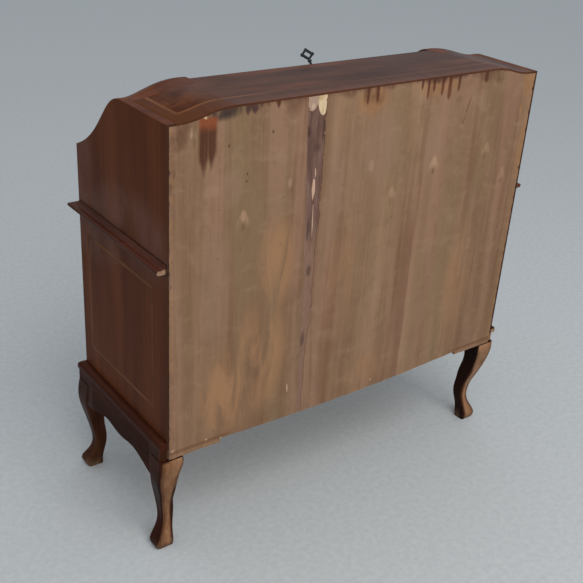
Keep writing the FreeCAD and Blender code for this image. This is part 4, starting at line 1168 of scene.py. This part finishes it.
def drawer_front(node, band_inset=DRAWER_BAND_INSET, tones=VENEER):
    low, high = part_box(node)
    finish = Finish(node + "_veneer")
    field, grain = finish.wood((X,), tones, 8.0)
    ends, _ = finish.wood((X,), tones, 20.0)
    rails, _ = finish.wood((Z,), tones, 20.0)
    start = (low.x + band_inset, low.z + band_inset)
    stop = (high.x - band_inset, high.z - band_inset)
    colour, past = banding(finish, field, finish.place, X, Z, start, stop, DRAWER_BAND)
    axes = finish.split(finish.place)
    border = finish.step(past, DRAWER_BAND / 2 + BAND_LINE, DRAWER_BAND / 2 + BAND_LINE * 1.1)
    end_side = finish.minus(finish.off(axes[X], (low.x + high.x) / 2), (high.x - low.x) / 2 - band_inset)
    colour = finish.lay(colour, finish.lay(rails, ends, finish.step(end_side, 0.0, MITRE_JOINT)), border)
    inside = finish.step(axes[Y], *[low.y + depth for depth in VENEER_EDGE])
    bare, _ = finish.wood((X,), PINE)
    colour = finish.lay(colour, bare, inside)
    return polished(finish, colour, grain)


def drawer_box(name, low):
    """Bare softwood whose front corner shows the dovetails, counted up from the box's low corner."""
    finish = Finish(name)
    colour, grain = finish.wood((Y,), PINE, 14.0, 200.0)
    axes = finish.split(finish.place)
    behind = finish.minus(axes[Y], low.y)
    pitches = finish.math("DIVIDE", finish.minus(axes[Z], low.z), DOVETAIL_PITCH)
    tooth = finish.math("PINGPONG", pitches, 0.5)
    flare = finish.scaled(behind, DOVETAIL_FLARE / DOVETAIL_DEPTH, DOVETAIL_NECK)
    pins = finish.times(finish.step(finish.minus(tooth, flare), 0.02, -0.02),
                        finish.step(behind, DOVETAIL_DEPTH, DOVETAIL_DEPTH - DOVETAIL_LINE))
    colour = finish.lay(colour, tone(104, 70, 44), pins, 0.75)
    grime = finish.noise((9.0, 9.0, 9.0), 4.0, 0.6)
    colour = finish.lay(colour, tone(110, 80, 54), finish.step(grime, 0.5, 0.75), 0.5)
    return finish.surface(colour, finish.scaled(grime, 0.3, 0.45), grain, BOARD_GRAIN_DEPTH,
                          Specular_IOR_Level=0.3)


drawer_bottom = plain_wood("drawer_bottom", (X,))
drawer_back = plain_wood("drawer_back", (X,))
for drawer in ("frieze_drawer", "lower_drawer", "upper_drawer"):
    eased(drawer + "_front", drawer_front(drawer + "_front"), DRAWER_EASE)
    box_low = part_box(drawer + "_sides")[0]
    eased(drawer + "_sides", drawer_box(drawer + "_dovetailed", box_low))
    eased(drawer + "_back", drawer_back)
    eased(drawer + "_bottom", drawer_bottom)
    dress(drawer + "_knobs", knob_brass)
for side in ("left", "right"):
    node = "small_drawer_front_" + side
    eased(node, drawer_front(node, SMALL_BAND_INSET, GALLERY), SMALL_FRONT_EASE)
    node = "small_drawer_box_" + side
    eased(node, drawer_box("small_drawer_dovetailed_" + side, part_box(node)[0]), SMALL_BOX_EASE)
    dress("small_drawer_knob_" + side, knob_brass)

# The fall, a veneered board that swings down on two hinges and makes the writing surface.
# A rectangle of banding runs round its outer face, and its inner face is lined with leather.
hinge = Vector((0.0, front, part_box("desk_board")[1].z))
fall_joint = next(joint for joint in frame["joints"] if joint["name"] == "fall_hinge")
slope = math.pi - math.radians(fall_joint["range_deg"][1])
FALL_BAND_INSET = 0.04
FALL_EASE = 0.001
LINING_EASE = 0.0003
GILT_INSET = 0.014
GILT_GAP = 0.004
GILT_BROAD = (0.0012, 0.0008)
GILT_NARROW = (0.0007, 0.0004)
LEATHER_DEPTH = 0.00015
LEATHER_CELLS = 900.0
fall_up = Vector((0, math.cos(slope), math.sin(slope)))
fall_out = Vector((0, -math.sin(slope), math.cos(slope)))


def up_the_fall(point):
    return (Vector(point) - hinge).dot(fall_up)


def on_fall(x, upward, outward):
    return hinge + Vector((x, 0, 0)) + fall_up * upward + fall_out * outward


def fall_place(finish):
    """Coordinates of the closed fall: across it, up its slope from the hinge, and out of its inner face."""
    inputs = {"Vector": finish.place, "Location": tuple(hinge), "Rotation": (slope, 0.0, 0.0)}
    return finish.node("Mapping", inputs, vector_type="TEXTURE").outputs[0]


fall_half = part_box("fall_board")[1].x
fall_length = max(up_the_fall(vert.co) for vert in nodes["fall_board"].data.vertices)
fall_thickness = max((vert.co - hinge).dot(fall_out) for vert in nodes["fall_board"].data.vertices)


def fall_finish():
    finish = Finish("fall_veneer")
    place = fall_place(finish)
    colour, grain = finish.wood((Y,), VENEER, 9.0, 240.0, place)
    colour, _ = banding(finish, colour, place, X, Y, (FALL_BAND_INSET - fall_half, FALL_BAND_INSET),
                        (fall_half - FALL_BAND_INSET, fall_length - FALL_BAND_INSET))
    inner, _ = finish.wood((X,), DESK_VENEER, 9.0, 240.0, place)
    inward = finish.step(finish.split(place)[Z], fall_thickness * 0.5, fall_thickness * 0.45)
    return polished(finish, finish.lay(colour, inner, inward), grain)


def leather_finish():
    low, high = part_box("fall_lining")
    lowest, highest = up_the_fall(low), up_the_fall(high)
    finish = Finish("lining_leather")
    place = fall_place(finish)
    axes = finish.split(place)
    pattern = {"Vector": place, "Scale": LEATHER_CELLS}
    cells = finish.node("TexVoronoi", pattern, feature="DISTANCE_TO_EDGE").outputs[0]
    creases = finish.step(cells, 0.0, 0.12)
    wear = finish.noise((14.0, 14.0, 14.0), 5.0, 0.6, 0.0, place)
    colour = finish.ramp(wear, (0.3, tone(58, 22, 18)), (0.55, tone(84, 34, 26)), (0.75, tone(112, 56, 42)))
    colour = finish.lay(colour, tone(40, 15, 12), finish.step(cells, 0.1, 0.0), 0.5)
    off = finish.minus(finish.math("ABSOLUTE", axes[X]), high.x - GILT_INSET)
    middle = (lowest + highest) / 2
    rise = finish.minus(finish.off(axes[Y], middle), (highest - lowest) / 2 - GILT_INSET)
    away = finish.math("ABSOLUTE", finish.math("MAXIMUM", off, rise))
    line = finish.math("MAXIMUM", finish.step(away, *GILT_BROAD),
                       finish.step(finish.off(away, GILT_GAP), *GILT_NARROW))
    gilt = finish.times(line, finish.step(wear, 0.72, 0.5))
    colour = finish.lay(colour, tone(176, 132, 62), gilt)
    roughness = finish.scaled(gilt, -0.2, finish.scaled(wear, 0.2, 0.4))
    height = finish.minus(creases, finish.times(gilt, 0.8))
    return finish.surface(colour, roughness, height, LEATHER_DEPTH, Specular_IOR_Level=0.4)


eased("fall_board", fall_finish(), FALL_EASE)
eased("fall_lining", leather_finish(), LINING_EASE)

# The hinges, lock, strike plate and escutcheon, cut from sheet brass that has gone dull.
# Slotted countersunk screws hold the hinge leaves and the lock.
DULL_BRASS = (tone(88, 64, 34), tone(136, 102, 54), tone(172, 136, 78))
plate_brass = brass("plate_brass", DULL_BRASS)
for name in ("hinge_desk_leaves", "hinge_fall_leaves", "hinge_pins", "lock_case", "strike_plate",
             "escutcheon", "lock_bolt"):
    dress(name, plate_brass)
SCREW_RADIUS = 0.0026
SCREW_HEAD = 0.0006
SLOT_WIDTH = 0.0006
SLOT_DEPTH = 0.0003
SCREW_SIDES = 20
SCREW_SEED = 5
screw_brass = brass("screw_brass")


def screw_tree():
    grower = Grower("slotted_screws", ("Radius", "Head", "Slot Width", "Slot Depth"))
    given = grower.given
    head = grower.node("GeometryNodeMeshCylinder",
                       {"Vertices": SCREW_SIDES, "Radius": given["Radius"], "Depth": given["Head"]})
    length = grower.node("ShaderNodeMath", {0: given["Radius"], 1: 3.0}, operation="MULTIPLY")
    depth = grower.node("ShaderNodeMath", {0: given["Slot Depth"], 1: 2.0}, operation="MULTIPLY")
    size = grower.node("ShaderNodeCombineXYZ",
                       {0: length.outputs[0], 1: given["Slot Width"], 2: depth.outputs[0]})
    bar = grower.node("GeometryNodeMeshCube", {"Size": size.outputs[0]})
    top = grower.node("ShaderNodeMath", {0: given["Head"], 1: 0.5}, operation="MULTIPLY")
    lift = grower.node("ShaderNodeCombineXYZ", {2: top.outputs[0]})
    raised = grower.node("GeometryNodeTransform",
                         {"Geometry": bar.outputs["Mesh"], "Translation": lift.outputs[0]})
    cut = grower.node("GeometryNodeMeshBoolean",
                      {"Mesh 1": head.outputs["Mesh"], "Mesh 2": raised.outputs[0]}, operation="DIFFERENCE")
    return grower.finish(cut.outputs[0], 0.0, ANY_TURN, SCREW_SEED)


screws = screw_tree()
screw_sizes = {"Radius": SCREW_RADIUS, "Head": SCREW_HEAD,
               "Slot Width": SLOT_WIDTH, "Slot Depth": SLOT_DEPTH}


def screw_down(name, places, facing, node):
    grow(name, screws, places, facing, screw_sizes, screw_brass, node)


LEAF_SCREWS = (0.16, 0.5, 0.84)
LEAF_SCREW_DOWN = 0.62
LOCK_SCREW_INSET = 0.006
right_leaf = [vert.co.x for vert in nodes["hinge_desk_leaves"].data.vertices if vert.co.x > 0]
leaf_start, leaf_end = min(right_leaf), max(right_leaf)
leaf_screws = [side * (leaf_start + (leaf_end - leaf_start) * share)
               for side in (-1, 1) for share in LEAF_SCREWS]
down_leaf = (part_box("hinge_desk_leaves")[1].y - hinge.y) * LEAF_SCREW_DOWN
inward = tuple(-fall_out)
screw_down("hinge_screws_desk", [(x, hinge.y + down_leaf, hinge.z) for x in leaf_screws], (0, 0, 1),
           "hinge_desk_leaves")
screw_down("hinge_screws_fall", [on_fall(x, down_leaf, 0.0) for x in leaf_screws], inward,
           "hinge_fall_leaves")
lock_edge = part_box("lock_case")[1].x - LOCK_SCREW_INSET
lock_heights = [up_the_fall(vert.co) for vert in nodes["lock_case"].data.vertices]
lock_rows = (min(lock_heights) + LOCK_SCREW_INSET, max(lock_heights) - LOCK_SCREW_INSET)
lock_screws = [on_fall(side * lock_edge, row, 0.0) for side in (-1, 1) for row in lock_rows]
screw_down("lock_screws", lock_screws, inward, "lock_case")

# The key, forged iron with a pierced bow, left in the lock and gone nearly black.
# Its bit turns inside the lock and shoots the bolt, and hands have rubbed the edges of the bow bright.
KEY_EASE = 0.0005
KEY_WEAR = 0.001
SCALE_DEPTH = 0.00008
finish = Finish("key_iron")
scale = finish.noise((260.0, 260.0, 260.0), 5.0, 0.65)
colour = finish.ramp(scale, (0.3, tone(22, 23, 25)), (0.55, tone(38, 39, 42)), (0.75, tone(70, 60, 54)))
bright = finish.worn_edge(KEY_WEAR, 0.3, 0.6)
colour = finish.lay(colour, tone(138, 134, 128), bright, 0.6)
key_iron = finish.surface(colour, finish.scaled(scale, 0.35, 0.25), scale, SCALE_DEPTH, Metallic=0.8)
eased("key", key_iron, KEY_EASE)

# The floor, light and camera: a plain pale floor under an even overcast sky, seen from behind the desk.
# The sky is brighter overhead than at the horizon, so that polished wood keeps its depth.
FLOOR_SIZE = 24.0
FLOOR_DEPTH = 0.0004
corner = FLOOR_SIZE / 2
floor_mesh = bpy.data.meshes.new("floor")
corners = [(-corner, -corner, 0), (corner, -corner, 0), (corner, corner, 0), (-corner, corner, 0)]
floor_mesh.from_pydata(corners, [], [(0, 1, 2, 3)])
floor = add_object("floor", floor_mesh)
finish = Finish("pale_floor")
mottle = finish.noise((70.0, 70.0, 70.0), 6.0, 0.75)
colour = finish.ramp(mottle, (0.3, tone(166, 170, 172)), (0.7, tone(182, 185, 186)))
floor_mesh.materials.append(finish.surface(colour, 0.9, mottle, FLOOR_DEPTH))

HORIZON = (0.05, (0.42, 0.44, 0.47, 1.0))
ZENITH = (0.75, (0.9, 0.95, 1.0, 1.0))
SKY_LEVEL = 0.8
world = bpy.data.worlds.new("overcast")
world.use_nodes = True
sky = world.node_tree.nodes
links = world.node_tree.links
direction = sky.new("ShaderNodeTexCoord")
height = sky.new("ShaderNodeSeparateXYZ")
gradient = sky.new("ShaderNodeValToRGB")
for stop, (position, colour) in zip(gradient.color_ramp.elements, (HORIZON, ZENITH)):
    stop.position = position
    stop.color = colour
links.new(direction.outputs["Generated"], height.inputs[0])
links.new(height.outputs["Z"], gradient.inputs[0])
links.new(gradient.outputs[0], sky["Background"].inputs["Color"])
sky["Background"].inputs["Strength"].default_value = SKY_LEVEL
bpy.context.scene.world = world

LAMP_PLACE = Vector((0.4, 2.8, 3.4))
LAMP_AIM = Vector((0.0, 0.0, 0.5))
LAMP_SIZE = 3.0
LAMP_POWER = 120.0
LAMP_COLOUR = (1.0, 0.98, 0.95)
light = bpy.data.lights.new("sky_light", "AREA")
light.size = LAMP_SIZE
light.energy = LAMP_POWER
light.color = LAMP_COLOUR
lamp = add_object("sky_light", light)
lamp.location = LAMP_PLACE
lamp.rotation_euler = (LAMP_AIM - LAMP_PLACE).to_track_quat("-Z", "Y").to_euler()

CAMERA_AZIMUTH = 141.96467
CAMERA_ELEVATION = 26.98726
CAMERA_ROLL = 3.80844
CAMERA_PLACE = (1.2039, 1.5024, 1.3962)
SENSOR_WIDTH = 36.0
FOCAL_PIXELS = 929.9
PICTURE_PIXELS = 583
azimuth, elevation, roll = (math.radians(a) for a in (CAMERA_AZIMUTH, CAMERA_ELEVATION, CAMERA_ROLL))
rearward = Vector((math.sin(azimuth) * math.cos(elevation), -math.cos(azimuth) * math.cos(elevation),
                   math.sin(elevation)))
level = Vector((0, 0, 1)).cross(rearward).normalized()
upward = rearward.cross(level)
right = math.cos(roll) * level + math.sin(roll) * upward
up = -math.sin(roll) * level + math.cos(roll) * upward
camera = add_object("camera", bpy.data.cameras.new("camera"))
camera.data.sensor_width = SENSOR_WIDTH
camera.data.lens = SENSOR_WIDTH * FOCAL_PIXELS / PICTURE_PIXELS
camera.matrix_world = Matrix((right, up, rearward)).transposed().to_4x4()
camera.location = CAMERA_PLACE
bpy.context.scene.camera = camera
bpy.context.scene.view_settings.view_transform = "Standard"
